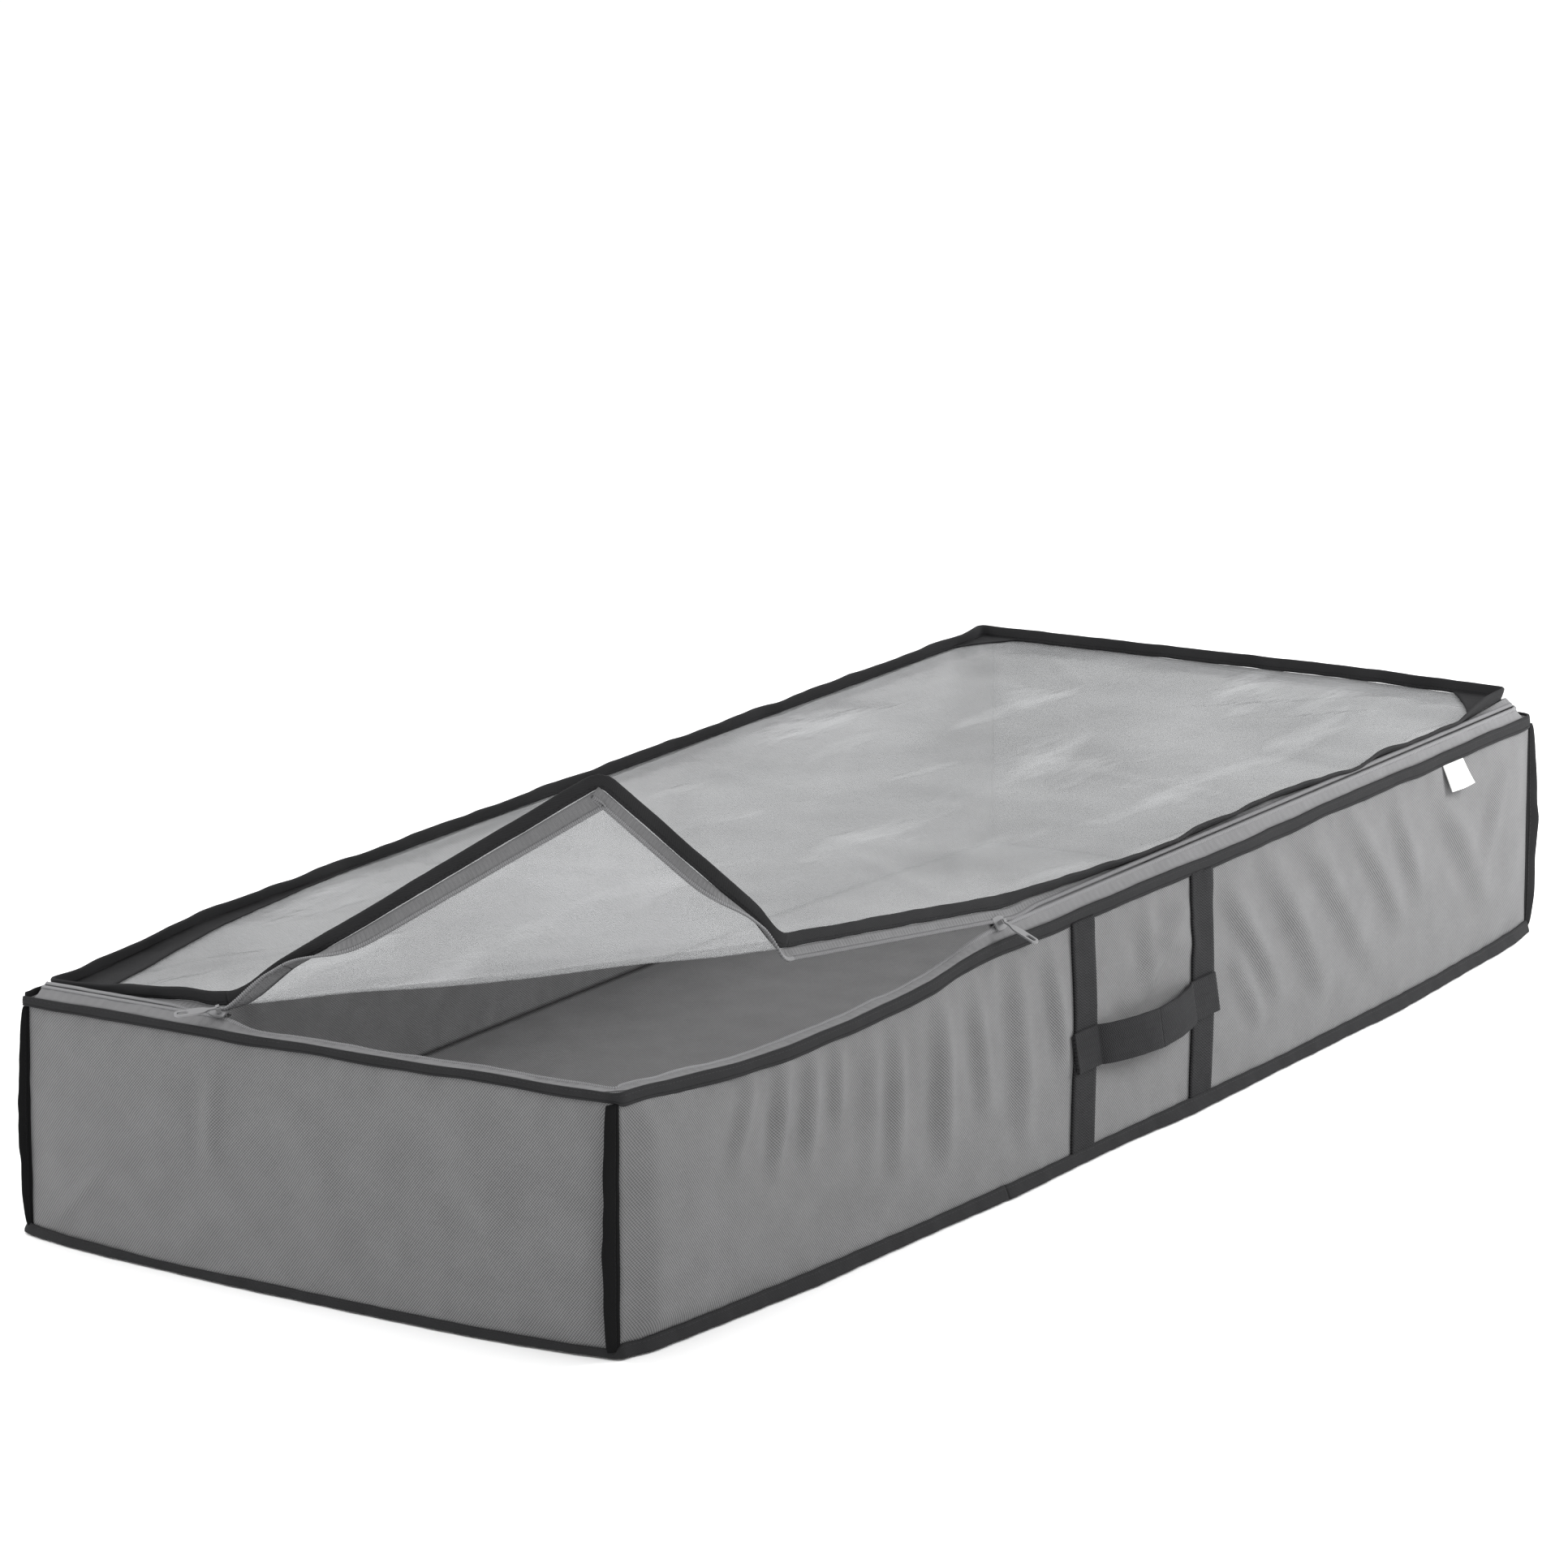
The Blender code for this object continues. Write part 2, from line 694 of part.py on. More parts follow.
def prism(name, loop, low, high, frame):
    """A plan drawn up from one height to another."""
    shape = bmesh.new()
    floor = shape.faces.new([shape.verts.new((x, y, low)) for x, y in loop])
    raised = bmesh.ops.extrude_face_region(shape, geom=[floor])["geom"]
    moved = [part for part in raised if isinstance(part, bmesh.types.BMVert)]
    bmesh.ops.translate(shape, vec=(0, 0, high - low), verts=moved)
    bmesh.ops.recalc_face_normals(shape, faces=shape.faces)
    item = mesh_object(name, shape)
    item.matrix_basis = frame
    return item


def make_slider(name, frame, lug_turn):
    """Two plates either side of the coils, a thin post between the coils, and a lug for the pull."""
    inside = COIL_THICKNESS / 2 + SLIDER_CLEARANCE
    outside = inside + SLIDER_PLATE
    plan = slider_plan(SLIDER_WIDTH, SLIDER_LENGTH)
    top = prism(f"{name}_top", plan, inside, outside, frame)
    bottom = prism(f"{name}_bottom", plan, -outside, -inside, frame)
    post_half = COIL_SPACE / 2 - GAP
    post_start = -SLIDER_LENGTH / 2 + POST_SETBACK
    post = block(
        f"{name}_post",
        (post_start, -post_half, -outside + SINK),
        (post_start + POST_LENGTH, post_half, outside - SINK),
        frame,
    )
    lug = frame @ Matrix.Translation((0, 0, outside)) @ Matrix.Rotation(lug_turn, 4, "Z")
    inner = EYE_WIDTH / 2 + GAP
    cheeks = [
        block(
            f"{name}_cheek_{index}",
            (start, -CHEEK_LENGTH / 2, -SINK),
            (start + CHEEK_THICKNESS, CHEEK_LENGTH / 2, CHEEK_TOP),
            lug,
        )
        for index, start in enumerate((-inner - CHEEK_THICKNESS, inner))
    ]
    pin_length = 2 * inner + CHEEK_THICKNESS
    pin = rod(f"{name}_pin", PIN_RADIUS, pin_length, lug @ Matrix.Translation((0, 0, PIN_HEIGHT)))
    joined(name, [top, post, bottom, *cheeks, pin], "slider_metal")
    return lug @ Matrix.Translation((0, 0, PIN_HEIGHT))


def make_pull(name, pivot, direction):
    """A flat pull whose eye turns on the slider's pin. Its length runs along a direction."""
    along = Vector(direction).normalized()
    across = (pivot.to_3x3() @ Vector((1, 0, 0))).normalized()
    normal = across.cross(along).normalized()
    frame = Matrix((across, along, normal)).transposed().to_4x4()
    frame.translation = pivot.translation
    half = PULL_WIDTH / 2
    neck = EYE_WIDTH / 2 - SINK
    tip = PULL_LENGTH - half
    right = [(neck, NECK_START), (neck, NECK_STOP), (half * 0.85, WAIST), (half, SHOULDER)]
    left = [(-x, y) for x, y in reversed(right)]
    plan = right + arc_points(tip, half, 0) + left
    body = prism(f"{name}_plate", plan, -PULL_THICKNESS / 2, PULL_THICKNESS / 2, frame)
    eye = rod(f"{name}_eye", EYE_RADIUS, EYE_WIDTH, frame)
    bore = rod(f"{name}_bore", EYE_BORE_RADIUS, 2 * EYE_WIDTH, frame)
    hole = half * 0.48
    slot_plan = arc_points(tip, hole, 0) + arc_points(tip - SLOT_LENGTH, hole, math.pi)
    slot = prism(f"{name}_slot", slot_plan, -2 * PULL_THICKNESS, 2 * PULL_THICKNESS, frame)
    joined(name, [body, eye], "slider_metal", cuts=[bore, slot])


def make_sliders():
    end_along = Vector((0, 1, -math.tan(LID_TILT) / 2)).normalized()
    end_across = Vector((math.cos(END_ZIP_TILT), 0, math.sin(END_ZIP_TILT)))
    end_normal = end_along.cross(end_across).normalized() * -1
    end_across = end_normal.cross(end_along).normalized()
    end_frame = Matrix((end_along, end_across, end_normal)).transposed().to_4x4()
    end_frame.translation = across_end(END_SLIDER_Y, 0)
    front_along = Vector((1, 0, 0))
    front_across = Vector((0, math.cos(FRONT_ZIP_TILT), math.sin(FRONT_ZIP_TILT)))
    front_normal = front_along.cross(front_across).normalized()
    front_frame = Matrix((front_along, front_across, front_normal)).transposed().to_4x4()
    front_frame.translation = across_front(FRONT_SLIDER_X, 0)

    end_heading = Vector((math.cos(END_PULL_YAW), math.sin(END_PULL_YAW), 0))
    local = end_frame.to_3x3().transposed() @ end_heading
    lug_turn = math.atan2(local.y, local.x) - math.pi / 2
    pivot = make_slider("end_slider", end_frame, lug_turn)
    across = pivot.to_3x3() @ Vector((1, 0, 0))
    droop = Matrix.Rotation(END_PULL_DROOP, 3, across)
    level = Vector((0, 0, 1)).cross(across)
    make_pull("end_pull", pivot, droop.inverted() @ level)

    pivot = make_slider("front_slider", front_frame, math.pi)
    outward = Vector((0, -math.cos(FRONT_PULL_DROOP), -math.sin(FRONT_PULL_DROOP)))
    make_pull("front_pull", pivot, outward)


# ------------------------------------------------------------------ handle and label
HANDLE_OUT = GAP + STRAP_THICKNESS + GAP + HANDLE_THICKNESS / 2


def slanted(x, z):
    """Where a line that starts at x under the rim has got to: the straps lean as they go down."""
    return x - STRAP_SLANT * (1 - z / RIM_BINDING_LOW)


HANDLE_START = slanted(STRAP_X[0], HANDLE_Z) + STRAP_WIDTH / 2 + PATCH_OVERHANG
HANDLE_STOP = slanted(STRAP_X[1], HANDLE_Z) - STRAP_WIDTH / 2 - PATCH_OVERHANG


def handle_point(share, height):
    """A point of the free webbing: it bows out and sags between its two sewn ends."""
    bow = math.sin(math.pi * share) ** 0.7
    x = HANDLE_START + (HANDLE_STOP - HANDLE_START) * share
    ends = [front_wall(end, HANDLE_OUT, HANDLE_Z + height) for end in (HANDLE_START, HANDLE_STOP)]
    y = ends[0].lerp(ends[1], share).y
    return Vector((x, y - HANDLE_BULGE * bow, HANDLE_Z - HANDLE_SAG * bow + height))


def handle_strip(name, shares, ends=()):
    """A run of the handle's webbing, with a flat sewn length added at the ends that ask for one."""
    rails = []
    for height in (-HANDLE_HEIGHT / 2, HANDLE_HEIGHT / 2):
        rail = [handle_point(share, height) for share in shares]
        for end, first in ends:
            flat = front_wall(end, HANDLE_OUT, HANDLE_Z + height)
            rail = [flat] + rail if first else rail + [flat]
        rails.append(rail)
    strip(name, rails, HANDLE_THICKNESS, "webbing")


def make_handle():
    """Two straps sewn up the wall, the ends of the webbing sewn over them, and its free middle."""
    out = GAP + STRAP_THICKNESS / 2
    for name, middle in zip(("left", "right"), STRAP_X):
        edges = (middle - STRAP_WIDTH / 2, middle + STRAP_WIDTH / 2)
        heights = (WALL_TRIM_LOW, WALL_TRIM_HIGH)
        rails = [[front_wall(slanted(x, z), out, z) for x in edges] for z in heights]
        strip(f"handle_strap_{name}", rails, STRAP_THICKNESS, "webbing")
    root = HANDLE_ROOT_SHARE
    steps = 4
    rise = [root * step / steps for step in range(steps + 1)]
    fall = [1 - share for share in reversed(rise)]
    outer = STRAP_WIDTH + 2 * PATCH_OVERHANG
    handle_strip("handle_end_left", rise, [(HANDLE_START - outer, True)])
    handle_strip("handle_end_right", fall, [(HANDLE_STOP + outer, False)])
    first = root + HANDLE_SPACE_SHARE
    last = 1 - first
    count = 12
    handle_strip("handle_bow", [first + (last - first) * step / count for step in range(count + 1)])


def make_label():
    """A small blank tab of tape that hangs below the rim binding."""
    label = plate(
        "label",
        (-LABEL_WIDTH / 2, -LABEL_THICKNESS / 2, -LABEL_LENGTH),
        (LABEL_WIDTH / 2, LABEL_THICKNESS / 2, 0),
        "label_white",
    )
    top = RIM_BINDING_LOW - 2 * GAP
    reach = LABEL_LENGTH / 2
    hang = front_wall(LABEL_X, 3 * GAP, top)
    label.location = hang - reach * Vector((0, math.sin(LABEL_LEAN), math.cos(LABEL_LEAN)))
    label.rotation_euler.x = -LABEL_LEAN


make_panels()
make_box_bindings()
make_box_zip()
make_windows()
make_lid_bindings()
make_lid_zip()
make_sliders()
make_handle()
make_label()
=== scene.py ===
"""Looks of the under bed storage bag: sewn fabric walls, bound seams, a zipped clear lid, a webbing handle.

Metres, +Z up, +X along the bag, -Y the side with the handle. Everything on the lid is laid out in
its closed place first, and then carried to where the folds of the open corner hold it at rest.
"""
import json
import math

import bmesh
import bpy
import numpy as np
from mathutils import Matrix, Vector


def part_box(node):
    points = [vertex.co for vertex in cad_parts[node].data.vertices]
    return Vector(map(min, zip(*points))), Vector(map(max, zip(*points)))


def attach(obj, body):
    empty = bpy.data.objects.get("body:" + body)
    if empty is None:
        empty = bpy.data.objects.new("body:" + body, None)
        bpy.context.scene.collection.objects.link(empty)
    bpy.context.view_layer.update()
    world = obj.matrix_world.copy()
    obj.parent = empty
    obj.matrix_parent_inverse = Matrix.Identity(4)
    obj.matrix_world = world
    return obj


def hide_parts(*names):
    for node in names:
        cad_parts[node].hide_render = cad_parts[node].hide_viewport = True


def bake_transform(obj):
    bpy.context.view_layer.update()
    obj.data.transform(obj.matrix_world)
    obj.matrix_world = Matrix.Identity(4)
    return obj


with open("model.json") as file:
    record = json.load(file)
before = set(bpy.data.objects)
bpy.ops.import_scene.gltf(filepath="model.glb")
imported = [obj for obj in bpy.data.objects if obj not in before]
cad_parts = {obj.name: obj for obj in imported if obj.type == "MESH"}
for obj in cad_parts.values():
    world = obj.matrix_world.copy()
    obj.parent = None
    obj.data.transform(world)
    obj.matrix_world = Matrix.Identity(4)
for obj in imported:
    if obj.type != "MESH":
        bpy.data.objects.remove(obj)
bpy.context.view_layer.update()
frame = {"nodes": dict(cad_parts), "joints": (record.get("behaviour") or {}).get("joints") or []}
JOINTS = {row["name"]: row for row in frame["joints"]}

# ------------------------------------------------------------------ places read from the frame
HALF_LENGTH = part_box("back_seam_binding")[1].x
HALF_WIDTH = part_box("near_end_panel")[1].y
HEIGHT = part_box("near_end_panel")[1].z
BASE_INSET = 0.0019
BOW_LONG = BASE_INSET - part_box("bottom_panel")[0].y - HALF_WIDTH
BOW_END = BASE_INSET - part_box("bottom_panel")[0].x - HALF_LENGTH
BOW_POWER = 3.0
RIM_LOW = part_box("rim_binding")[0].z
RIM_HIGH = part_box("rim_binding")[1].z
BASE_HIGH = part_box("bottom_binding")[1].z

HINGE = np.array(JOINTS["lid_hinge"]["pos_m"])
FOLD_REST = -JOINTS["lid_fold"]["range_deg"][0]
FLAP_REST = -JOINTS["corner_fold"]["range_deg"][0]
END_REST = -JOINTS["end_tape_turn"]["range_deg"][0]
FRONT_REST = -JOINTS["front_tape_turn"]["range_deg"][0]


def turned(points, joint, degrees):
    """Points turned about a joint's axis as it stands at rest. Degrees may differ by point."""
    axis = np.array(JOINTS[joint]["axis"], float)
    axis = axis / np.linalg.norm(axis)
    pivot = np.array(JOINTS[joint].get("pos_m", (0, 0, 0)), float)
    arms = np.asarray(points, float) - pivot
    angle = np.radians(np.broadcast_to(degrees, arms.shape[:-1]))[..., None]
    along = (arms @ axis)[..., None] * axis
    return pivot + arms * np.cos(angle) + np.cross(axis, arms) * np.sin(angle) + along * (1 - np.cos(angle))


END_STOP = np.array(JOINTS["lid_fold"]["pos_m"])
PEAK = np.array(JOINTS["end_tape_turn"]["pos_m"])
CORNER = turned(turned(PEAK, "corner_fold", -FLAP_REST), "lid_fold", -FOLD_REST)
LID_X = -END_STOP[0]
LID_Y = -CORNER[1]
LID_BACK_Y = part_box("lid_window")[1].y
LID_SLOPE = (CORNER[2] - HINGE[2]) / (HINGE[1] + LID_Y)
LID_TILT = math.atan(LID_SLOPE)
LID_UP = np.array((0, math.sin(LID_TILT), math.cos(LID_TILT)))


def lid_z(y):
    return HINGE[2] + (HINGE[1] - y) * LID_SLOPE


def front_end_of(axis):
    """Where a fold line that starts at the end slider reaches the front edge of the closed lid."""
    return END_STOP - axis * (END_STOP[1] + LID_Y) / axis[1]


FOLD_AXIS = np.array(JOINTS["lid_fold"]["axis"])
FLAP_AXIS = (
    turned(END_STOP + np.array(JOINTS["corner_fold"]["axis"]), "lid_fold", -FOLD_REST) - END_STOP
)
FRONT_STOP = front_end_of(FOLD_AXIS)
BEND = front_end_of(FLAP_AXIS)

# ------------------------------------------------------------------ small sums
MM = 0.001


def smooth(value):
    value = np.clip(value, 0, 1)
    return value * value * (3 - 2 * value)


def ripple(place, seed, wave):
    """A wandering line of about unit height, whose longest wave is the one given."""
    draw = np.random.RandomState(seed)
    total = 0.0
    for scale in (1.0, 0.63, 0.41, 0.27):
        length = wave * scale * draw.uniform(0.85, 1.15)
        total = total + scale * np.sin(place * 2 * math.pi / length + draw.uniform(0, 6.28))
    return total / 1.7


def ripple_field(x, y, seed, wave):
    """A wandering surface of about unit height."""
    draw = np.random.RandomState(seed)
    total = 0.0
    for scale in (1.0, 0.8, 0.6, 0.5, 0.4, 0.3):
        heading = draw.uniform(0, math.pi)
        length = wave * scale
        phase = (x * math.cos(heading) + y * math.sin(heading)) * 2 * math.pi / length
        total = total + scale * np.sin(phase + draw.uniform(0, 6.28))
    return total / 2.2


def crease(x, y, start, stop, width, height):
    """A soft ridge along a line, highest at its middle."""
    line = np.array(stop, float) - np.array(start, float)
    length = np.hypot(*line)
    along = ((x - start[0]) * line[0] + (y - start[1]) * line[1]) / length**2
    away = ((x - start[0]) * line[1] - (y - start[1]) * line[0]) / length
    taper = np.sin(math.pi * np.clip(along, 0, 1)) ** 0.8
    return height * taper * np.exp(-((away / width) ** 2))


def unit(vectors):
    return vectors / np.linalg.norm(vectors, axis=-1, keepdims=True)


def spaced(points, step):
    """The same line with points an even step apart, and how far along each one is."""
    points = np.asarray(points, float)
    lengths = np.concatenate([[0], np.cumsum(np.linalg.norm(np.diff(points, axis=0), axis=1))])
    count = max(2, int(round(lengths[-1] / step)) + 1)
    places = np.linspace(0, lengths[-1], count)
    line = np.stack([np.interp(places, lengths, points[:, k]) for k in range(points.shape[1])], 1)
    return line, places


def softened(line, window, closed=False):
    """A line evened out over a number of its points. Its ends, or its loop, are carried on to do it."""
    kernel = np.hanning(window + 2)[1:-1]
    kernel /= kernel.sum()
    pad = window // 2
    if closed:
        before, after = line[-pad - 1 : -1], line[1 : pad + 1]
    else:
        before, after = 2 * line[0] - line[pad:0:-1], 2 * line[-1] - line[-2 : -pad - 2 : -1]
    full = np.concatenate([before, line, after])
    return np.stack([np.convolve(full[:, k], kernel, "valid") for k in range(line.shape[1])], 1)


def rounded(corners, radius, step):
    """A line through corners, with a rounding of that radius at each bend."""
    fine = step / 4
    line, _ = spaced(corners, fine)
    return spaced(softened(line, max(3, int(radius * 1.2 / fine) | 1)), step)


def headings(line):
    return unit(np.gradient(line, axis=0))


# ------------------------------------------------------------------ materials
class Shade:
    """A procedural material: one shader, and the sums that feed it."""

    def __init__(self, name, colour, roughness, **sockets):
        self.material = bpy.data.materials.new(name)
        self.material.use_nodes = True
        self.nodes = self.material.node_tree.nodes
        self.links = self.material.node_tree.links
        self.shader = self.nodes["Principled BSDF"]
        self.shader.inputs["Base Color"].default_value = (*colour, 1)
        self.shader.inputs["Roughness"].default_value = roughness
        for socket, value in sockets.items():
            self.shader.inputs[socket.replace("_", " ")].default_value = value
        self.colour = colour
        self.uv = self.node("ShaderNodeTexCoord").outputs["UV"]

    def node(self, kind, **settings):
        made = self.nodes.new(kind)
        for key, value in settings.items():
            setattr(made, key, value)
        return made

    def feed(self, socket, value):
        if isinstance(value, bpy.types.NodeSocket):
            self.links.new(value, socket)
        else:
            socket.default_value = value

    def sum(self, operation, first, second=0.0, third=0.0):
        made = self.node("ShaderNodeMath", operation=operation)
        for socket, value in zip(made.inputs, (first, second, third)):
            self.feed(socket, value)
        return made.outputs[0]

    def mix(self, first, much, second, more):
        """Two values added, each in its own measure."""
        return self.sum("MULTIPLY_ADD", first, much, self.sum("MULTIPLY", second, more))

    def along(self, across, up):
        """How far a point is along a direction of the sheet."""
        made = self.node("ShaderNodeVectorMath", operation="DOT_PRODUCT")
        self.feed(made.inputs[0], self.uv)
        made.inputs[1].default_value = (across, up, 0)
        return made.outputs["Value"]

    def wave(self, across, up, pitch, shift=0.0):
        """Ribs of that pitch, from 0 to 1, that run square to a direction of the sheet."""
        size = math.hypot(across, up)
        place = self.along(across / size, up / size)
        phase = self.sum("MULTIPLY_ADD", place, 2 * math.pi / pitch, shift)
        return self.sum("MULTIPLY_ADD", self.sum("SINE", phase), 0.5, 0.5)

    def noise(self, scale, detail=3.0, stretch=None):
        made = self.node("ShaderNodeTexNoise")
        made.inputs["Scale"].default_value = scale
        made.inputs["Detail"].default_value = detail
        place = self.uv
        if stretch:
            mapping = self.node("ShaderNodeMapping")
            mapping.inputs["Scale"].default_value = (*stretch, 1)
            self.links.new(place, mapping.inputs["Vector"])
            place = mapping.outputs["Vector"]
        self.links.new(place, made.inputs["Vector"])
        return made.outputs[0]

    def between(self, value, low, high, to_low, to_high):
        made = self.node("ShaderNodeMapRange")
        for socket, number in zip(made.inputs, (value, low, high, to_low, to_high)):
            self.feed(socket, number)
        return made.outputs[0]

    def shades(self, value, dark, light):
        """The colour runs from dark to light times the material's own as a value runs from 0 to 1."""
        made = self.node("ShaderNodeMix", data_type="RGBA")
        self.feed(made.inputs["Factor"], value)
        for socket, factor in (("A", dark), ("B", light)):
            colour = [min(1.0, part * factor) for part in self.colour]
            sockets = [x for x in made.inputs if x.name == socket and x.type == "RGBA"]
            sockets[0].default_value = (*colour, 1)
        output = [x for x in made.outputs if x.type == "RGBA"][0]
        self.links.new(output, self.shader.inputs["Base Color"])

    def rough(self, value, first, last, low=0.3, high=0.7):
        """The roughness runs from first to last as a value runs from low to high."""
        self.links.new(self.between(value, low, high, first, last), self.shader.inputs["Roughness"])

    def bump(self, *layers):
        """Relief, from pairs of a height from 0 to 1 and its depth in metres."""
        normal = None
        for height, depth in layers:
            made = self.node("ShaderNodeBump")
            made.inputs["Strength"].default_value = 1.0
            made.inputs["Distance"].default_value = depth
            self.links.new(height, made.inputs["Height"])
            if normal:
                self.links.new(normal, made.inputs["Normal"])
            normal = made.outputs[0]
        self.links.new(normal, self.shader.inputs["Normal"])
        return self.material


def grey_fabric():
    """Matt cloth with a fine diagonal emboss."""
    shade = Shade("grey_fabric", (0.151, 0.151, 0.153), 0.92, Specular_IOR_Level=0.12)
    ribs = shade.wave(0.80, -0.60, 1.42 * MM)
    ticks = shade.wave(0.55, 0.83, 1.25 * MM)
    weave = shade.mix(ticks, 0.36, ribs, 0.64)
    mottle = shade.noise(38, 4)
    fibres = shade.noise(900, 2, (1, 0.35))
    tone = shade.mix(mottle, 0.22, weave, 0.62)
    shade.shades(shade.sum("MULTIPLY_ADD", fibres, 0.16, tone), 0.30, 1.64)
    shade.rough(mottle, 0.84, 0.95)
    return shade.bump((weave, 0.22 * MM), (fibres, 0.08 * MM), (mottle, 0.6 * MM))


STITCH = 3.2 * MM
STITCHES_IN = 2.0 * MM


def binding_tape(name, tone, gloss):
    """Folded binding: fine twill, and a line of stitches near its inner edge."""
    shade = Shade(name, (tone, tone, 1.04 * tone), 0.84, Specular_IOR_Level=gloss)
    twill = shade.wave(0.6, 0.8, 0.75 * MM)
    wear = shade.noise(60, 4)
    up = shade.along(0, 1)
    stitch = shade.wave(1, 0, STITCH)
    off_line = shade.sum("ABSOLUTE", shade.sum("SUBTRACT", up, STITCHES_IN))
    near = shade.between(off_line, 0, 0.5 * MM, 1, 0)
    thread = shade.sum("MULTIPLY", near, shade.sum("GREATER_THAN", stitch, 0.25))
    tone = shade.mix(wear, 0.5, twill, 0.35)
    shade.shades(shade.sum("MULTIPLY_ADD", thread, 0.5, tone), 0.55, 1.7)
    shade.rough(wear, 0.68, 0.86)
    return shade.bump((twill, 0.10 * MM), (thread, 0.25 * MM), (wear, 0.4 * MM))


def webbing():
    """Herringbone webbing."""
    shade = Shade("webbing", (0.018, 0.018, 0.019), 0.70, Specular_IOR_Level=0.10)
    up = shade.along(0, 1)
    fold = shade.sum("PINGPONG", up, 2.6 * MM)
    place = shade.sum("ADD", shade.along(1, 0), shade.sum("MULTIPLY", fold, 0.9))
    rib = shade.sum("SINE", shade.sum("MULTIPLY", place, 2 * math.pi / (1.7 * MM)))
    rib = shade.sum("MULTIPLY_ADD", rib, 0.5, 0.5)
    yarn = shade.wave(0, 1, 0.65 * MM)
    relief = shade.mix(yarn, 0.3, rib, 0.7)
    wear = shade.noise(70, 3)
    shade.shades(shade.mix(wear, 0.3, relief, 0.7), 0.25, 1.95)
    shade.rough(relief, 0.75, 0.55, 0, 1)
    return shade.bump((relief, 0.35 * MM), (wear, 0.3 * MM))


def zip_tape():
    shade = Shade("zip_tape", (0.165, 0.165, 0.168), 0.86, Specular_IOR_Level=0.12)
    ribs = shade.wave(1, 0, 1.0 * MM)
    yarn = shade.wave(0, 1, 0.7 * MM)
    weave = shade.mix(yarn, 0.5, ribs, 0.5)
    wear = shade.noise(90, 3)
    shade.shades(shade.mix(wear, 0.4, weave, 0.6), 0.72, 1.25)
    shade.rough(wear, 0.72, 0.88)
    return shade.bump((weave, 0.15 * MM))


def zip_coil():
    shade = Shade("zip_coil", (0.19, 0.19, 0.195), 0.45, Specular_IOR_Level=0.3)
    teeth = shade.wave(1, 0, 1.4 * MM)
    wear = shade.noise(400, 2)
    shade.shades(shade.mix(wear, 0.3, teeth, 0.7), 0.55, 1.25)
    shade.rough(wear, 0.3, 0.5)
    return shade.bump((teeth, 0.2 * MM))


def clear_window():
    """Clear soft vinyl: a faint haze, with more body where it is seen at a slant, partly for its haze and
    partly as painted reflection. Whiter stretched streaks in it are painted highlights along its wrinkles.
    """
    shade = Shade("clear_window", (0.74, 0.75, 0.76), 0.10, IOR=1.54, Specular_IOR_Level=0.6)
    haze = shade.noise(9, 5)
    fine = shade.noise(60, 3)
    # Painted highlights: stretched streaks where the vinyl is more opaque and so whiter, standing in for
    # light caught on its wrinkles.
    highlight_streaks = shade.between(shade.noise(6, 4, (1.0, 3.2)), 0.55, 0.72, 0, 1)
    slant = shade.node("ShaderNodeLayerWeight")
    slant.inputs["Blend"].default_value = 0.35
    body = shade.between(haze, 0.3, 0.7, 0.05, 0.09)
    body = shade.sum("MULTIPLY_ADD", highlight_streaks, 0.06, body)
    # Partly painted reflection: the alpha rises where the vinyl is seen at a slant.
    alpha = shade.sum("MULTIPLY_ADD", slant.outputs["Facing"], 0.15, body)
    shade.links.new(alpha, shade.shader.inputs["Alpha"])
    shade.shades(haze, 0.96, 1.06)
    shade.rough(fine, 0.10, 0.22)
    return shade.bump((haze, 3.0 * MM), (highlight_streaks, 1.2 * MM), (fine, 0.12 * MM))


def slider_metal():
    shade = Shade("slider_metal", (0.23, 0.23, 0.235), 0.40, Metallic=0.55)
    wear = shade.noise(500, 3)
    broad = shade.noise(120, 2)
    shade.shades(broad, 0.8, 1.25)
    shade.rough(wear, 0.34, 0.5)
    return shade.bump((wear, 0.03 * MM))


def label_white():
    shade = Shade("label_white", (0.86, 0.86, 0.85), 0.48, Sheen_Weight=0.3)
    weave = shade.sum("MULTIPLY", shade.wave(1, 0, 0.5 * MM), shade.wave(0, 1, 0.4 * MM))
    wear = shade.noise(150, 3)
    shade.shades(shade.mix(wear, 0.5, weave, 0.5), 0.92, 1.06)
    return shade.bump((weave, 0.05 * MM))


def floor_plain():
    return Shade("floor_plain", (0.96, 0.96, 0.96), 0.85, Specular_IOR_Level=0.1).material


FABRIC = grey_fabric()
BINDING = binding_tape("binding_tape", 0.021, 0.10)
# A darker, less glossy copy of the binding tape: painted shade for the upright seams on the shaded near
# end.
SHADED_BINDING = binding_tape("seam_tape", 0.007, 0.05)
WEBBING = webbing()
TAPE = zip_tape()
COIL = zip_coil()
VINYL = clear_window()
METAL = slider_metal()
LABEL = label_white()


# ------------------------------------------------------------------ mesh making
def grid_quads(rows, columns, wrap=False):
    """The quads of a grid as vertex numbers, and as (row, column) pairs that run on past a wrap."""
    row, column = np.meshgrid(
        np.arange(rows - 1), np.arange(columns if wrap else columns - 1), indexing="ij"
    )
    pairs = [(row, column), (row + 1, column), (row + 1, column + 1), (row, column + 1)]
    spots = np.stack([np.stack(pair, -1) for pair in pairs], -2).reshape(-1, 4, 2)
    numbers = spots[..., 0] * columns + spots[..., 1] % columns
    return numbers, spots


def placed(name, data):
    """A new object in the scene."""
    made = bpy.data.objects.new(name, data)
    bpy.context.scene.collection.objects.link(made)
    return made


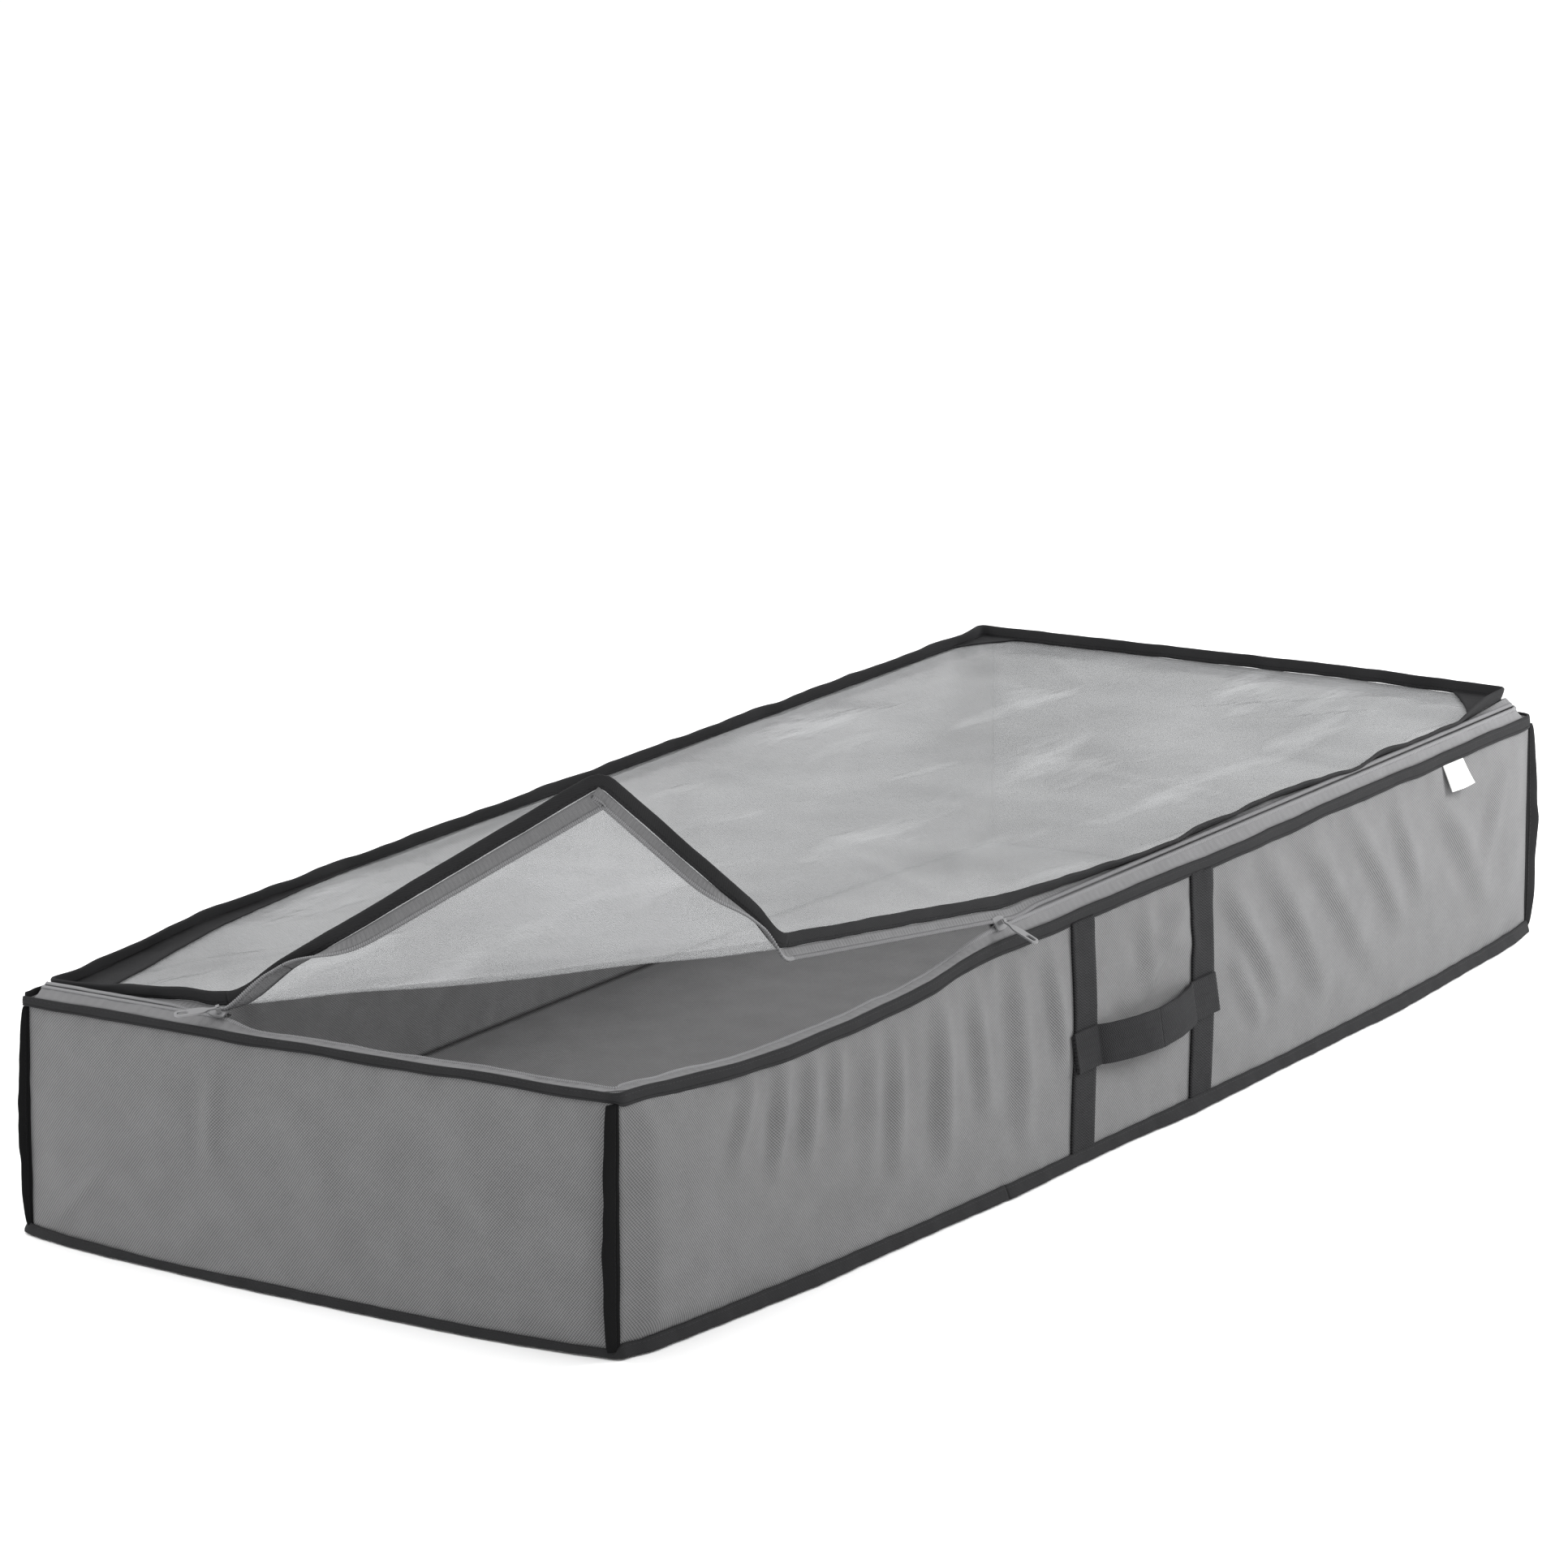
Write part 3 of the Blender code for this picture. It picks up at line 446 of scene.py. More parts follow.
def make_mesh(name, points, faces, sheet, material):
    """A mesh piece. sheet gives each face corner's place on the flat cloth, in metres."""
    mesh = bpy.data.meshes.new(name)
    mesh.from_pydata(points.tolist(), [], [list(map(int, face)) for face in faces])
    layer = mesh.uv_layers.new(name="UVMap")
    flat = np.concatenate([np.asarray(part, float).reshape(-1, 2) for part in sheet])
    layer.data.foreach_set("uv", flat.astype(np.float32).ravel())
    mesh.materials.append(material)
    shape = bmesh.new()
    shape.from_mesh(mesh)
    bmesh.ops.recalc_face_normals(shape, faces=shape.faces)
    shape.to_mesh(mesh)
    shape.free()
    mesh.polygons.foreach_set("use_smooth", [face.loop_total == 4 for face in mesh.polygons])
    return placed(name, mesh)


def surface_normals(grid):
    rows = np.gradient(grid, axis=0)
    columns = np.gradient(grid, axis=1)
    return unit(np.cross(rows, columns))


def make_sheet(name, grid, across, up, thickness, material):
    """A sheet of that thickness through a grid of points. across and up are its flat places."""
    rows, columns, _ = grid.shape
    normal = surface_normals(grid) * thickness / 2
    points = np.concatenate([(grid + normal).reshape(-1, 3), (grid - normal).reshape(-1, 3)])
    numbers, spots = grid_quads(rows, columns)
    across = np.broadcast_to(across, (rows, columns))
    up = np.broadcast_to(up, (rows, columns))
    flat = np.stack([across, up], -1)
    face_flat = flat[spots[..., 0], spots[..., 1]]
    count = rows * columns
    border = (
        [(i, 0) for i in range(rows)]
        + [(rows - 1, j) for j in range(1, columns)]
        + [(i, columns - 1) for i in range(rows - 2, -1, -1)]
        + [(0, j) for j in range(columns - 2, 0, -1)]
    )
    edge = np.array([i * columns + j for i, j in border])
    onward = np.roll(edge, -1)
    sides = np.stack([edge, onward, onward + count, edge + count], -1)
    side_flat = flat.reshape(-1, 2)[np.stack([edge, onward, onward, edge], -1)]
    faces = np.concatenate([numbers, numbers[:, ::-1] + count, sides])
    sheet = [face_flat, face_flat[:, ::-1], side_flat]
    return make_mesh(name, points, faces, sheet, material)


def band_grid(line, across, normal, profile):
    """The points of a band: its section set across and up off each point of its line."""
    return line[:, None] + across[:, None] * profile[..., 0:1] + normal[:, None] * profile[..., 1:2]


def carried(rest, grid):
    """A grid of points laid out in the closed place, carried to where it rests."""
    return rest(grid.reshape(-1, 3)).reshape(grid.shape)


def make_band(name, line, across, normal, profile, material, start=0.0, rest=None):
    """A solid band along a line. Its section is pairs across and up off the line, or one per point."""
    profile = np.broadcast_to(profile, (len(line), *np.shape(profile)[-2:]))
    grid = band_grid(line, across, normal, profile)
    if rest:
        grid = carried(rest, grid)
    rows, columns, _ = grid.shape
    numbers, spots = grid_quads(rows, columns, wrap=True)
    places = start + np.concatenate([[0], np.cumsum(np.linalg.norm(np.diff(line, axis=0), axis=1))])
    widths = profile[len(line) // 2, :, 0]
    around = np.append(widths, widths[0])
    face_flat = np.stack([places[spots[..., 0]], around[spots[..., 1]]], -1)
    caps = [list(range(columns)), list(range((rows - 1) * columns, rows * columns))]
    cap_flat = [np.stack([np.full(columns, places[end]), widths], -1) for end in (0, -1)]
    faces = [*numbers, *caps]
    return make_mesh(name, grid.reshape(-1, 3), faces, [face_flat, *cap_flat], material)


SECTION_PLACES = (0.06, 0.14, 0.2, 0.235, 0.27, 0.34, 0.5, 0.7, 0.86, 0.95)
GROOVE_PLACE = 0.235


def band_section(width, thickness, groove=False):
    """A folded band seen end on: from its inner edge out and back, with a groove at its stitches."""
    half = thickness / 2
    top = []
    for place in SECTION_PLACES:
        crown = 1 - 0.35 * abs(2 * place - 1) ** 3
        sink = 0.42 if groove and place == GROOVE_PLACE else 0.0
        top.append((width * place, half * (crown - sink)))
    back = [(x, -y) for x, y in reversed(top)]
    outer = [(width, half * 0.3), (width, -half * 0.3)]
    inner = [(0.0, -half * 0.3), (0.0, half * 0.3)]
    return np.array(top + outer + back + inner)


def stand_for(piece, body, slot, *nodes):
    """A piece in place of CAD nodes, which rides on one body; one that lies between two bodies is left
    fixed where it rests.
    """
    if isinstance(body, str):
        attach(piece, body)
    else:
        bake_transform(piece)
    if nodes:
        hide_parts(*nodes)
    return piece


# ------------------------------------------------------------------ the fabric box
FABRIC_THICKNESS = 1.0 * MM
WALL_STEP = 4.0 * MM
BASE_SHORT = 0.6 * MM
# Each wall: the way along it, the way out of it, half its length, its distance and its bow.
SIDES = {
    "front": ((1, 0), (0, -1), HALF_LENGTH, HALF_WIDTH, BOW_LONG),
    "far_end": ((0, 1), (1, 0), HALF_WIDTH, HALF_LENGTH, BOW_END),
    "back": ((-1, 0), (0, 1), HALF_LENGTH, HALF_WIDTH, BOW_LONG),
    "near_end": ((0, -1), (-1, 0), HALF_WIDTH, HALF_LENGTH, BOW_END),
}
RIM_TIP = 5.0 * MM


def rim_give(side, along):
    """How far the rim stands out and hangs down. It is slack where the zip is open."""
    out = 0.9 * MM * ripple(along, 11 + len(side), 0.19)
    down = 0.7 * MM * (1 + ripple(along, 21 + len(side), 0.23))
    half = SIDES[side][2]
    fade = smooth((half - np.abs(along)) / 0.05)
    if side == "front":
        open_part = np.clip((along + HALF_LENGTH) / (HALF_LENGTH + FRONT_STOP[0]), 0, 1)
        slack = np.sin(math.pi * open_part) ** 1.2
        out = out + 8.0 * MM * slack
        down = down + 5.0 * MM * slack
        out = out + 3.0 * MM * smooth((along - FRONT_STOP[0]) / 0.2) * smooth((0.35 - along) / 0.2)
    out = out * fade
    down = down * fade
    # The rim stands highest at the near front corner and lowest at the near back one.
    if side == "near_end":
        down = down - RIM_TIP * along / half
    elif side == "front":
        down = down - RIM_TIP * smooth(1 - (along + half) / 0.16)
    elif side == "back":
        down = down + RIM_TIP * smooth(1 - (half - along) / 0.16)
    return out, down


def rim_down(line, share):
    """How far the rim hangs down beside each point of the zip."""
    near = rim_give("near_end", -line[:, 1])[1]
    far = rim_give("far_end", line[:, 1])[1]
    ends = np.where(line[:, 0] < 0, near, far)
    return np.where(share > 0.5, rim_give("front", line[:, 0])[1], ends)


def creases(*rows):
    """Each row has a crease's start and stop and its width in millimetres, and then its height."""
    return [((a / 1000, b / 1000), (c / 1000, d / 1000), w / 1000, h) for a, b, c, d, w, h in rows]


FRONT_CREASES = creases(
    (-405, 147, -436, 90, 6.5, 1.5), (-375, 146, -396, 70, 6.5, 1.8), (-345, 145, -361, 68, 7, 1.7),
    (-318, 143, -329, 80, 6, 1.3), (-280, 135, -298, 45, 10, 1.2), (-255, 138, -272, 40, 8, 1.8),
    (-205, 140, -222, 30, 9, 2.2), (-165, 138, -172, 50, 8, 1.6), (-115, 140, -135, 25, 10, 2.2),
    (-80, 138, -82, 55, 7, 1.5), (80, 128, -12, 78, 9, 2.2), (84, 100, 10, 122, 8, 1.4),
    (35, 140, 20, 85, 8, 1.2), (125, 130, 175, 40, 10, 2.3), (122, 90, 150, 30, 9, 1.6),
    (175, 138, 235, 30, 12, 2.4), (225, 140, 300, 30, 12, 2.0), (285, 140, 345, 50, 10, 1.8),
    (345, 142, 370, 60, 9, 1.6), (395, 140, 470, 30, 12, 1.7), (500, 130, 455, 60, 9, 1.3),
)
NEAR_END_CREASES = creases(
    (-198, 138, -105, 80, 4, 0.7), (-195, 128, -20, 70, 12, 0.9), (-72, 132, -66, 62, 6, 0.9),
    (-192, 77, -85, 70, 5, 0.6), (-190, 12, -140, 60, 4, 0.6), (-40, 140, 40, 30, 14, 1.0),
    (100, 135, 140, 30, 12, 0.9), (185, 20, 150, 60, 4, 0.5),
)
OTHER_CREASES = creases(
    (-160, 138, -120, 50, 10, 1.3), (-50, 140, -90, 35, 11, 1.5), (60, 138, 100, 40, 10, 1.4),
    (150, 138, 120, 50, 9, 1.2),
)
# The back wall has the far end's creases twice: once stretched, and once turned end for end.
BACK_CREASES = [
    ((x * s, a), (y * s, b), w, h) for s in (2.4, -1.1) for (x, a), (y, b), w, h in OTHER_CREASES
]
CREASES = {
    "front": FRONT_CREASES, "near_end": NEAR_END_CREASES, "far_end": OTHER_CREASES, "back": BACK_CREASES
}
CREASE_GAIN = {"front": 2.1, "near_end": 2.8, "far_end": 1.5, "back": 1.3}
# How far a wall stands out just inside the upright seams where it starts and where it stops.
SHOULDER = {"front": (9.0 * MM, 3.0 * MM), "near_end": (2.0 * MM, 1.5 * MM)}


def wall_out(side, along, z):
    """How far outside its flat place a wall stands: its bow, its bulge, and its folds."""
    _, _, half, _, bow = SIDES[side]
    share = np.clip(np.abs(along) / half, 0, 1)
    rise = np.clip(z / HEIGHT, 0, 1)
    give, _ = rim_give(side, along)
    total = bow * (1 - share**BOW_POWER) * (1 - rise) + give * rise**1.5
    inside = np.sin(math.pi * rise) * (1 - share**6)
    total = total + inside * (2.6 * MM + 0.9 * MM * ripple_field(along, z, 31 + len(side), 0.22))
    gain = CREASE_GAIN[side] * MM
    for start, stop, width, height in CREASES[side]:
        total = total + crease(along, z, start, stop, width, height * gain)
        total = total - crease(along + 1.7 * width, z, start, stop, width, 0.45 * height * gain)
    seam = np.exp(-(((1 - rise) * HEIGHT - 8 * MM) / (9 * MM)) ** 2)
    total = total + 0.45 * MM * seam * ripple(along, 41 + len(side), 0.021)
    foot = np.exp(-((z - 9 * MM) / (8 * MM)) ** 2)
    total = total + 0.35 * MM * foot * ripple(along, 51 + len(side), 0.026)
    first, last = SHOULDER.get(side, (2.0 * MM, 2.0 * MM))
    inside = smooth(rise * 7) * smooth((1 - rise) * 6)
    begun, left = along + half, half - along
    total = total + first * inside * (smooth(begun / (27 * MM)) - smooth(begun / (200 * MM)))
    return total + last * inside * smooth(left / (22 * MM)) * smooth(1 - left / (150 * MM))


def wall_point(side, along, z, out=0.0):
    """A point on a wall's outer face, or this far outside it."""
    way, away, _, depth, _ = SIDES[side]
    reach = depth + out + wall_out(side, along, z)
    _, down = rim_give(side, along)
    drop = down * np.clip(z / HEIGHT, 0, 1) ** 3
    plan = np.multiply.outer(along, way) + np.multiply.outer(reach, away)
    return np.concatenate([plan, (z - drop)[..., None]], -1)


def make_walls():
    """The four walls and the base, each with its flat size and area."""
    panels = []
    for side, (_, _, half, _, _) in SIDES.items():
        short = 1.3 * MM if side in ("front", "back") else 0.5 * MM
        steps = int(2 * half / WALL_STEP)
        along = np.linspace(-half + short, half - short, steps)[:, None]
        z = np.linspace(0.6 * MM, HEIGHT - 0.4 * MM, 42)[None, :]
        along, z = np.broadcast_arrays(along, z)
        grid = wall_point(side, along, z, -FABRIC_THICKNESS / 2)
        down = -z if side in ("front", "back") else z
        panel = make_sheet(f"{side}_cloth", grid, along, down, FABRIC_THICKNESS, FABRIC)
        stand_for(panel, "box", "grey_fabric", f"{side}_panel")
        panels.append((panel, (2 * half, HEIGHT), 2 * half * HEIGHT))
    x = np.linspace(-1, 1, 150)[:, None]
    y = np.linspace(-1, 1, 66)[None, :]
    x, y = np.broadcast_arrays(x, y)
    long_half = HALF_LENGTH - BASE_SHORT + BOW_END * (1 - np.abs(y) ** BOW_POWER)
    wide_half = HALF_WIDTH - BASE_SHORT + BOW_LONG * (1 - np.abs(x) ** BOW_POWER)
    inside = smooth((1 - np.abs(x)) / 0.06) * smooth((1 - np.abs(y)) / 0.12)
    lift = 0.7 * MM + inside * 1.1 * MM * (1 + ripple_field(x * 0.5, y * 0.2, 61, 0.28))
    grid = np.stack([x * long_half, y * wide_half, lift], -1)
    base = make_sheet("bottom_cloth", grid, grid[..., 0], grid[..., 1], FABRIC_THICKNESS, FABRIC)
    stand_for(base, "box", "grey_fabric", "bottom_panel")
    bowed = (HALF_LENGTH * BOW_LONG + HALF_WIDTH * BOW_END) * BOW_POWER / (BOW_POWER + 1)
    area = 4 * (HALF_LENGTH * HALF_WIDTH + bowed)
    panels.append((base, (2 * (HALF_LENGTH + BOW_END), 2 * (HALF_WIDTH + BOW_LONG)), area))
    return panels


def side_line(side, z, out, stop=0.0, step=2.0 * MM):
    """A level line along a wall, this far outside it."""
    half = SIDES[side][2]
    along = np.linspace(-half - stop, half + stop, int(2 * half / step))
    return wall_point(side, along, np.full_like(along, z), out)


def around(sides, z, out, radius, closed=False):
    """A level line round several walls, rounded at their corners."""
    corners = np.concatenate([side_line(side, z, out, out) for side in sides])
    if closed:
        middle = len(corners) // 8
        corners = np.concatenate([corners[middle:], corners[:middle], corners[middle : middle + 1]])
    fine, _ = spaced(corners, 1.0 * MM)
    return softened(fine, int(radius / MM) | 1, closed)


def outward(line, closed=False):
    """The level direction to the right of a line, which is out of the bag when it runs anticlockwise."""
    way = headings(line)
    if closed:
        way[0] = way[-1] = unit(line[1] - line[-2])
    out = np.stack([way[:, 1], -way[:, 0], np.zeros(len(way))], -1)
    return unit(out)


ALL_SIDES = ("front", "far_end", "back", "near_end")
BAND_STEP = 2.2 * MM
BAND_THICKNESS = 2.4 * MM
ZIPPED_SIDES = ("near_end", "front", "far_end")
UP = np.array((0.0, 0.0, 1.0))


def leaning(out, degrees, up=UP):
    """Directions that lean up from the way out by an angle, and the ones square to them."""
    angle = np.radians(np.broadcast_to(degrees, len(out)))[:, None]
    across = out * np.cos(angle) + up * np.sin(angle)
    normal = -out * np.sin(angle) + up * np.cos(angle)
    return across, normal


def make_box_bindings():
    line = around(ALL_SIDES, BASE_HIGH, 1.1 * MM, 9 * MM, closed=True)
    line, places = spaced(line, BAND_STEP)
    out = outward(line, closed=True)
    line = line - out * 0.2 * MM
    low = 6.4 * MM
    high = low + (BASE_HIGH - low) * out[:, 1] ** 4 + 0.5 * MM * ripple(places, 73, 0.24)
    high = np.minimum(high, BASE_HIGH)
    high[0] = high[-1]
    line[:, 2] = high
    lean = -68 + 9 * ripple(places, 71, 0.31)
    lean[0] = lean[-1]
    across, normal = leaning(out, lean)
    width = (high - 1.2 * MM) / -across[:, 2]
    profile = band_section(1.0, 0.24)[None] * width[:, None, None]
    base = make_band("base_binding", line, across, normal, profile, BINDING)
    stand_for(base, "box", "binding_tape", "bottom_binding")

    line = around(ZIPPED_SIDES, HEIGHT, 1.3 * MM, 24 * MM)
    line, places = spaced(line, BAND_STEP)
    out = outward(line)
    line = line + UP * (RIM_HIGH - HEIGHT)
    across, normal = leaning(out, -85 + 4 * ripple(places, 72, 0.17))
    full = RIM_HIGH - RIM_LOW + 0.2 * MM
    section = band_section(full, 2.3 * MM, groove=True)
    section[:, 0] = full - section[:, 0]
    profile = np.repeat(section[None], len(line), 0)
    share = 0.70 + 0.30 * out[:, 1] ** 4 + 0.05 * ripple(places, 74, 0.12)
    profile[..., 0] *= np.minimum(share, 1.04)[:, None]
    rim = make_band("rim_edge_binding", line, across, normal, profile, BINDING)
    stand_for(rim, "box", "binding_tape", "rim_binding")

    line = side_line("back", RIM_LOW + 0.2 * MM, 0.9 * MM, stop=-0.4 * MM)
    out = outward(line)
    across, normal = leaning(out, 88)
    section = band_section(HINGE[2] - RIM_LOW, 1.4 * MM, groove=True)
    seam = make_band("back_seam_edge", line, across, normal, section, BINDING)
    stand_for(seam, "box", "binding_tape", "back_seam_binding")


# Each upright seam: its corner, the way its flange points in degrees, its width, the share of that
# width left at its ends, and how much it wanders.
FLANGES = {
    "near_front": ((-1, -1), 156, 9.5 * MM, 0.72, 1.2),
    "near_back": ((-1, 1), 128, 6.6 * MM, 0.35, 2.4),
    "far_front": ((1, -1), -42, 7.6 * MM, 0.30, 2.0),
    "far_back": ((1, 1), 45, 7.6 * MM, 0.35, 2.0),
}
FLANGE_FOOT = 1.4 * MM
TOP_SHIFT = {"near_front": RIM_TIP, "near_back": -RIM_TIP}


def make_corner_flanges():
    """Crescents of binding: the seams stand out most at the middle of the wall's height."""
    for index, (name, ((end, side), heading, width, ends, wander)) in enumerate(FLANGES.items()):
        low = 5.0 * MM
        high = RIM_LOW + 2.0 * MM + TOP_SHIFT.get(name, 0.0)
        z = np.linspace(low, high, 60)
        share = (z - low) / (high - low)
        swell = np.sin(math.pi * share)
        angle = np.radians(heading + 3.5 * wander * ripple(z, 81 + index, 0.11) * swell)
        across = np.stack([np.cos(angle), np.sin(angle), np.zeros_like(z)], -1)
        normal = np.stack([-np.sin(angle), np.cos(angle), np.zeros_like(z)], -1)
        plan = np.broadcast_to((end * HALF_LENGTH, side * HALF_WIDTH), (len(z), 2))
        line = np.column_stack([plan, z])
        line = line + normal * (0.45 * MM * ripple(z, 91 + index, 0.07) * swell)[:, None]
        section = band_section(1.0, BAND_THICKNESS, groove=True)
        shape = ends + (1 - ends) * np.sin(math.pi * share**0.85) ** 0.6
        shape = shape * (1 + 0.05 * wander * ripple(z, 95 + index, 0.06) * swell)
        profile = np.repeat(section[None], len(z), 0)
        profile[..., 0] = profile[..., 0] * (width * shape + FLANGE_FOOT)[:, None] - FLANGE_FOOT
        # Painted shade: the seams at the near end get the darker copy of the binding, and the far ones get
        # the binding itself.
        tape = SHADED_BINDING if end < 0 else BINDING
        flange = make_band(f"{name}_flange", line, across, normal, profile, tape)
        stand_for(flange, "box", "binding_tape", f"corner_binding_{name}")


# ------------------------------------------------------------------ where the zip runs
COIL_SPACE = 1.2 * MM
COIL_WIDTH = 2.6 * MM
COIL_FULL = 3.5 * MM
TOOTH = 1.4 * MM
ZIP_STEP = TOOTH / 2
TAPE_THICKNESS = 0.7 * MM
COIL_X = (HALF_LENGTH + LID_X) / 2
COIL_Y = (HALF_WIDTH + LID_Y) / 2
END_TILT = 20.0
FRONT_TILT = math.degrees(math.atan2(lid_z(-LID_Y) - HEIGHT, HALF_WIDTH - LID_Y))
ZIP_BACK = 0.204


def zip_line(step):
    """The zip's middle line from the near back, round the front, to the far back."""
    corners = [(-COIL_X, ZIP_BACK), (-COIL_X, -COIL_Y), (COIL_X, -COIL_Y), (COIL_X, ZIP_BACK)]
    plan, places = rounded(corners, 14 * MM, step)
    z = (HEIGHT + lid_z(plan[:, 1])) / 2
    line = np.column_stack([plan, z])
    inward = -outward(line)
    share = inward[:, 1] ** 2
    tilt = END_TILT + (FRONT_TILT - END_TILT) * share
    across, normal = leaning(inward, tilt)
    return line, places, inward, across, normal, share


def open_share(line):
    """1 on the length of zip that is open, and 0 where it is closed."""
    near = smooth((END_STOP[1] - line[:, 1]) / 0.03) * (line[:, 0] < -COIL_X + 0.03)
    front = smooth((FRONT_STOP[0] - line[:, 0]) / 0.06) * (line[:, 1] < -COIL_Y + 0.03)
    return np.maximum(near, front)


def coil_section(places):
    """A round coil, ribbed by its teeth."""
    turns = np.linspace(0, 2 * math.pi, 8, endpoint=False) + 0.39
    ring = np.stack([np.cos(turns) * COIL_FULL / 2, np.sin(turns) * 0.95 * MM], -1)
    tooth = 0.80 + 0.20 * np.cos(places * 2 * math.pi / TOOTH)
    return ring[None] * tooth[:, None, None]


def tape_between(first, last, lift):
    """A strip of tape from one line to another, its middle raised by a vector at each point."""
    rows = np.linspace(0, 1, 6)[None, :, None]
    belly = np.sin(math.pi * np.linspace(0, 1, 6))[None, :, None]
    return first[:, None] * (1 - rows) + last[:, None] * rows + lift[:, None] * belly


def make_box_zip():
    line, places, inward, across, normal, share = zip_line(ZIP_STEP)
    slack = open_share(line)
    front_out, _ = rim_give("front", line[:, 0])
    down = rim_down(line, share)
    give = np.where(share > 0.5, 1.0, 0.0) * slack
    middle = line - across * (COIL_SPACE / 2 + COIL_WIDTH / 2)
    # Where the zip is open this half lies level with the rim, and follows its slack.
    fall = 0.4 * MM * ripple(places, 101, 0.09)
    fallen = HEIGHT + 0.8 * MM - fall - down
    middle[:, 2] = middle[:, 2] * (1 - slack) + fallen * slack
    middle = middle + inward * (3.0 * MM * share * slack - 0.9 * front_out * give)[:, None]
    coil = make_band("box_coil", middle, across, normal, coil_section(places), COIL)
    stand_for(coil, "box", "zip_coil", "box_zip_coil")

    rim = around(ZIPPED_SIDES, HEIGHT, -0.5 * MM, 12 * MM)
    rim, _ = spaced(rim, 1.0 * MM)
    pick = np.linspace(0, len(middle) - 1, int(places[-1] / (1.6 * MM))).astype(int)
    inner = middle[pick]
    spots = places[pick]
    far = np.array([np.argmin(((rim[:, :2] - point[:2]) ** 2).sum(1)) for point in inner])
    outer = rim[far] + UP * 0.6 * MM
    pucker = 0.25 * MM * np.sin(spots * 2 * math.pi / (6.5 * MM)) + 0.4 * MM * ripple(spots, 102, 0.05)
    grid = tape_between(outer, inner, UP * (pucker - 0.4 * MM)[:, None])
    flat = np.linspace(0, 9 * MM, 6)[None]
    tape = make_sheet("box_tape", grid, spots[:, None], flat, TAPE_THICKNESS, TAPE)
    stand_for(tape, "box", "zip_tape", "box_zip_tape")


# ------------------------------------------------------------------ how the open corner is carried
def perpendicular(start, stop):
    """In the closed lid, the way square to a fold line towards the corner."""
    line = stop - start
    way = unit(np.cross(line, LID_UP))
    return way if way @ (CORNER - start) > 0 else -way


LID_ZONE = 25 * MM
FLAP_ZONE = 25 * MM
FOLD_WAY = perpendicular(END_STOP, FRONT_STOP)
FLAP_WAY = perpendicular(END_STOP, BEND)
FLAP_WAY_REST = turned(END_STOP + FLAP_WAY, "lid_fold", FOLD_REST)
FLAP_WAY_REST = turned(FLAP_WAY_REST, "corner_fold", FLAP_REST / 2) - END_STOP
LID_TO_FOLD = ("lid", "fold", tuple(END_STOP - FOLD_WAY * LID_ZONE), tuple(END_STOP))
FOLD_TO_FLAP = ("fold", "flap", tuple(END_STOP), tuple(END_STOP + FLAP_WAY_REST * FLAP_ZONE))


def share_between(points, start, stop):
    way = np.array(stop) - np.array(start)
    return smooth((points - np.array(start)) @ way / (way @ way))


def settled(base, joint, degrees, start, stop):
    """Where points come to rest when the share of the turn that each takes depends on where it rests."""
    rest = base
    for _ in range(25):
        rest = turned(base, joint, degrees * share_between(rest, start, stop))
    return rest


def lid_rest(closed):
    return settled(closed, "lid_fold", FOLD_REST, *LID_TO_FOLD[2:])


def flap_rest(closed):
    lifted = turned(closed, "lid_fold", FOLD_REST)
    return settled(lifted, "corner_fold", FLAP_REST, *FOLD_TO_FLAP[2:])


def flap_full(closed):
    return turned(turned(closed, "lid_fold", FOLD_REST), "corner_fold", FLAP_REST)


# ------------------------------------------------------------------ the clear window
FRONT_DROP_X = (-0.1245, -0.06, 0.04, 0.12, 0.20, 0.25, 0.318, 0.338, 0.45, 0.5125)
FRONT_DROP_MM = (0.0, 3.0, 6.5, 5.5, 3.5, 6.0, 9.0, 6.5, 7.5, 2.0)
BACK_DROP = 8.0 * MM


def lid_drop(x, y):
    """How far the lid hangs below its flat place: along the closed front, and at the near back corner."""
    front = np.interp(x, FRONT_DROP_X, FRONT_DROP_MM) * MM * smooth(1 - (y + LID_Y) / 0.13)
    return front + BACK_DROP * smooth(1 - (x + LID_X) / 0.16) * smooth((y - 0.09) / 0.11)


def on_lid(x, y, up=0.0):
    plan = np.stack(np.broadcast_arrays(x, y, lid_z(y) - lid_drop(x, y)), -1)
    return plan + np.multiply.outer(np.broadcast_to(up, plan.shape[:-1]), LID_UP)


WINDOW_CREASES = creases(
    (-500, 195, -300, 60, 10, 1.6), (-500, 160, -360, 80, 6, 1.0), (500, -190, 340, -50, 10, 1.8),
    (500, -150, 380, -20, 6, 1.2), (500, 195, 330, 70, 10, 1.8), (500, 150, 400, 50, 6, 1.3),
    (440, 190, 300, 120, 6, 1.0), (-124.5, -190, 50, -60, 9, 1.8), (-124.5, -190, -20, -20, 7, 1.3),
    (-510, 75, -400, -20, 8, 1.3), (-510, 75, -360, 60, 7, 1.1), (-200, 190, -120, 50, 10, 1.1),
    (120, 190, 80, 40, 10, 1.1), (200, -190, 220, -40, 8, 1.2),
)


def window_height(x, y):
    """The vinyl hangs a little, and is creased from its corners and from the sliders."""
    edge = np.minimum(LID_X - np.abs(x), np.minimum(y + LID_Y, LID_BACK_Y - y))
    free = smooth(edge / 0.045)
    middle = (LID_BACK_Y - LID_Y) / 2
    depth = (LID_BACK_Y + LID_Y) / 2
    sag = -5.0 * MM * (1 - (x / LID_X) ** 2) * (1 - ((y - middle) / depth) ** 2)
    total = sag + free * 0.9 * MM * ripple_field(x, y, 111, 0.16)
    for start, stop, width, height in WINDOW_CREASES:
        total = total + free**0.5 * crease(x, y, start, stop, width, height * MM)
    hem = smooth(edge / 0.004) * np.exp(-edge / 0.016)
    return total + hem * 0.35 * MM * ripple_field(x, y, 112, 0.022)


VINYL_THICKNESS = 0.6 * MM


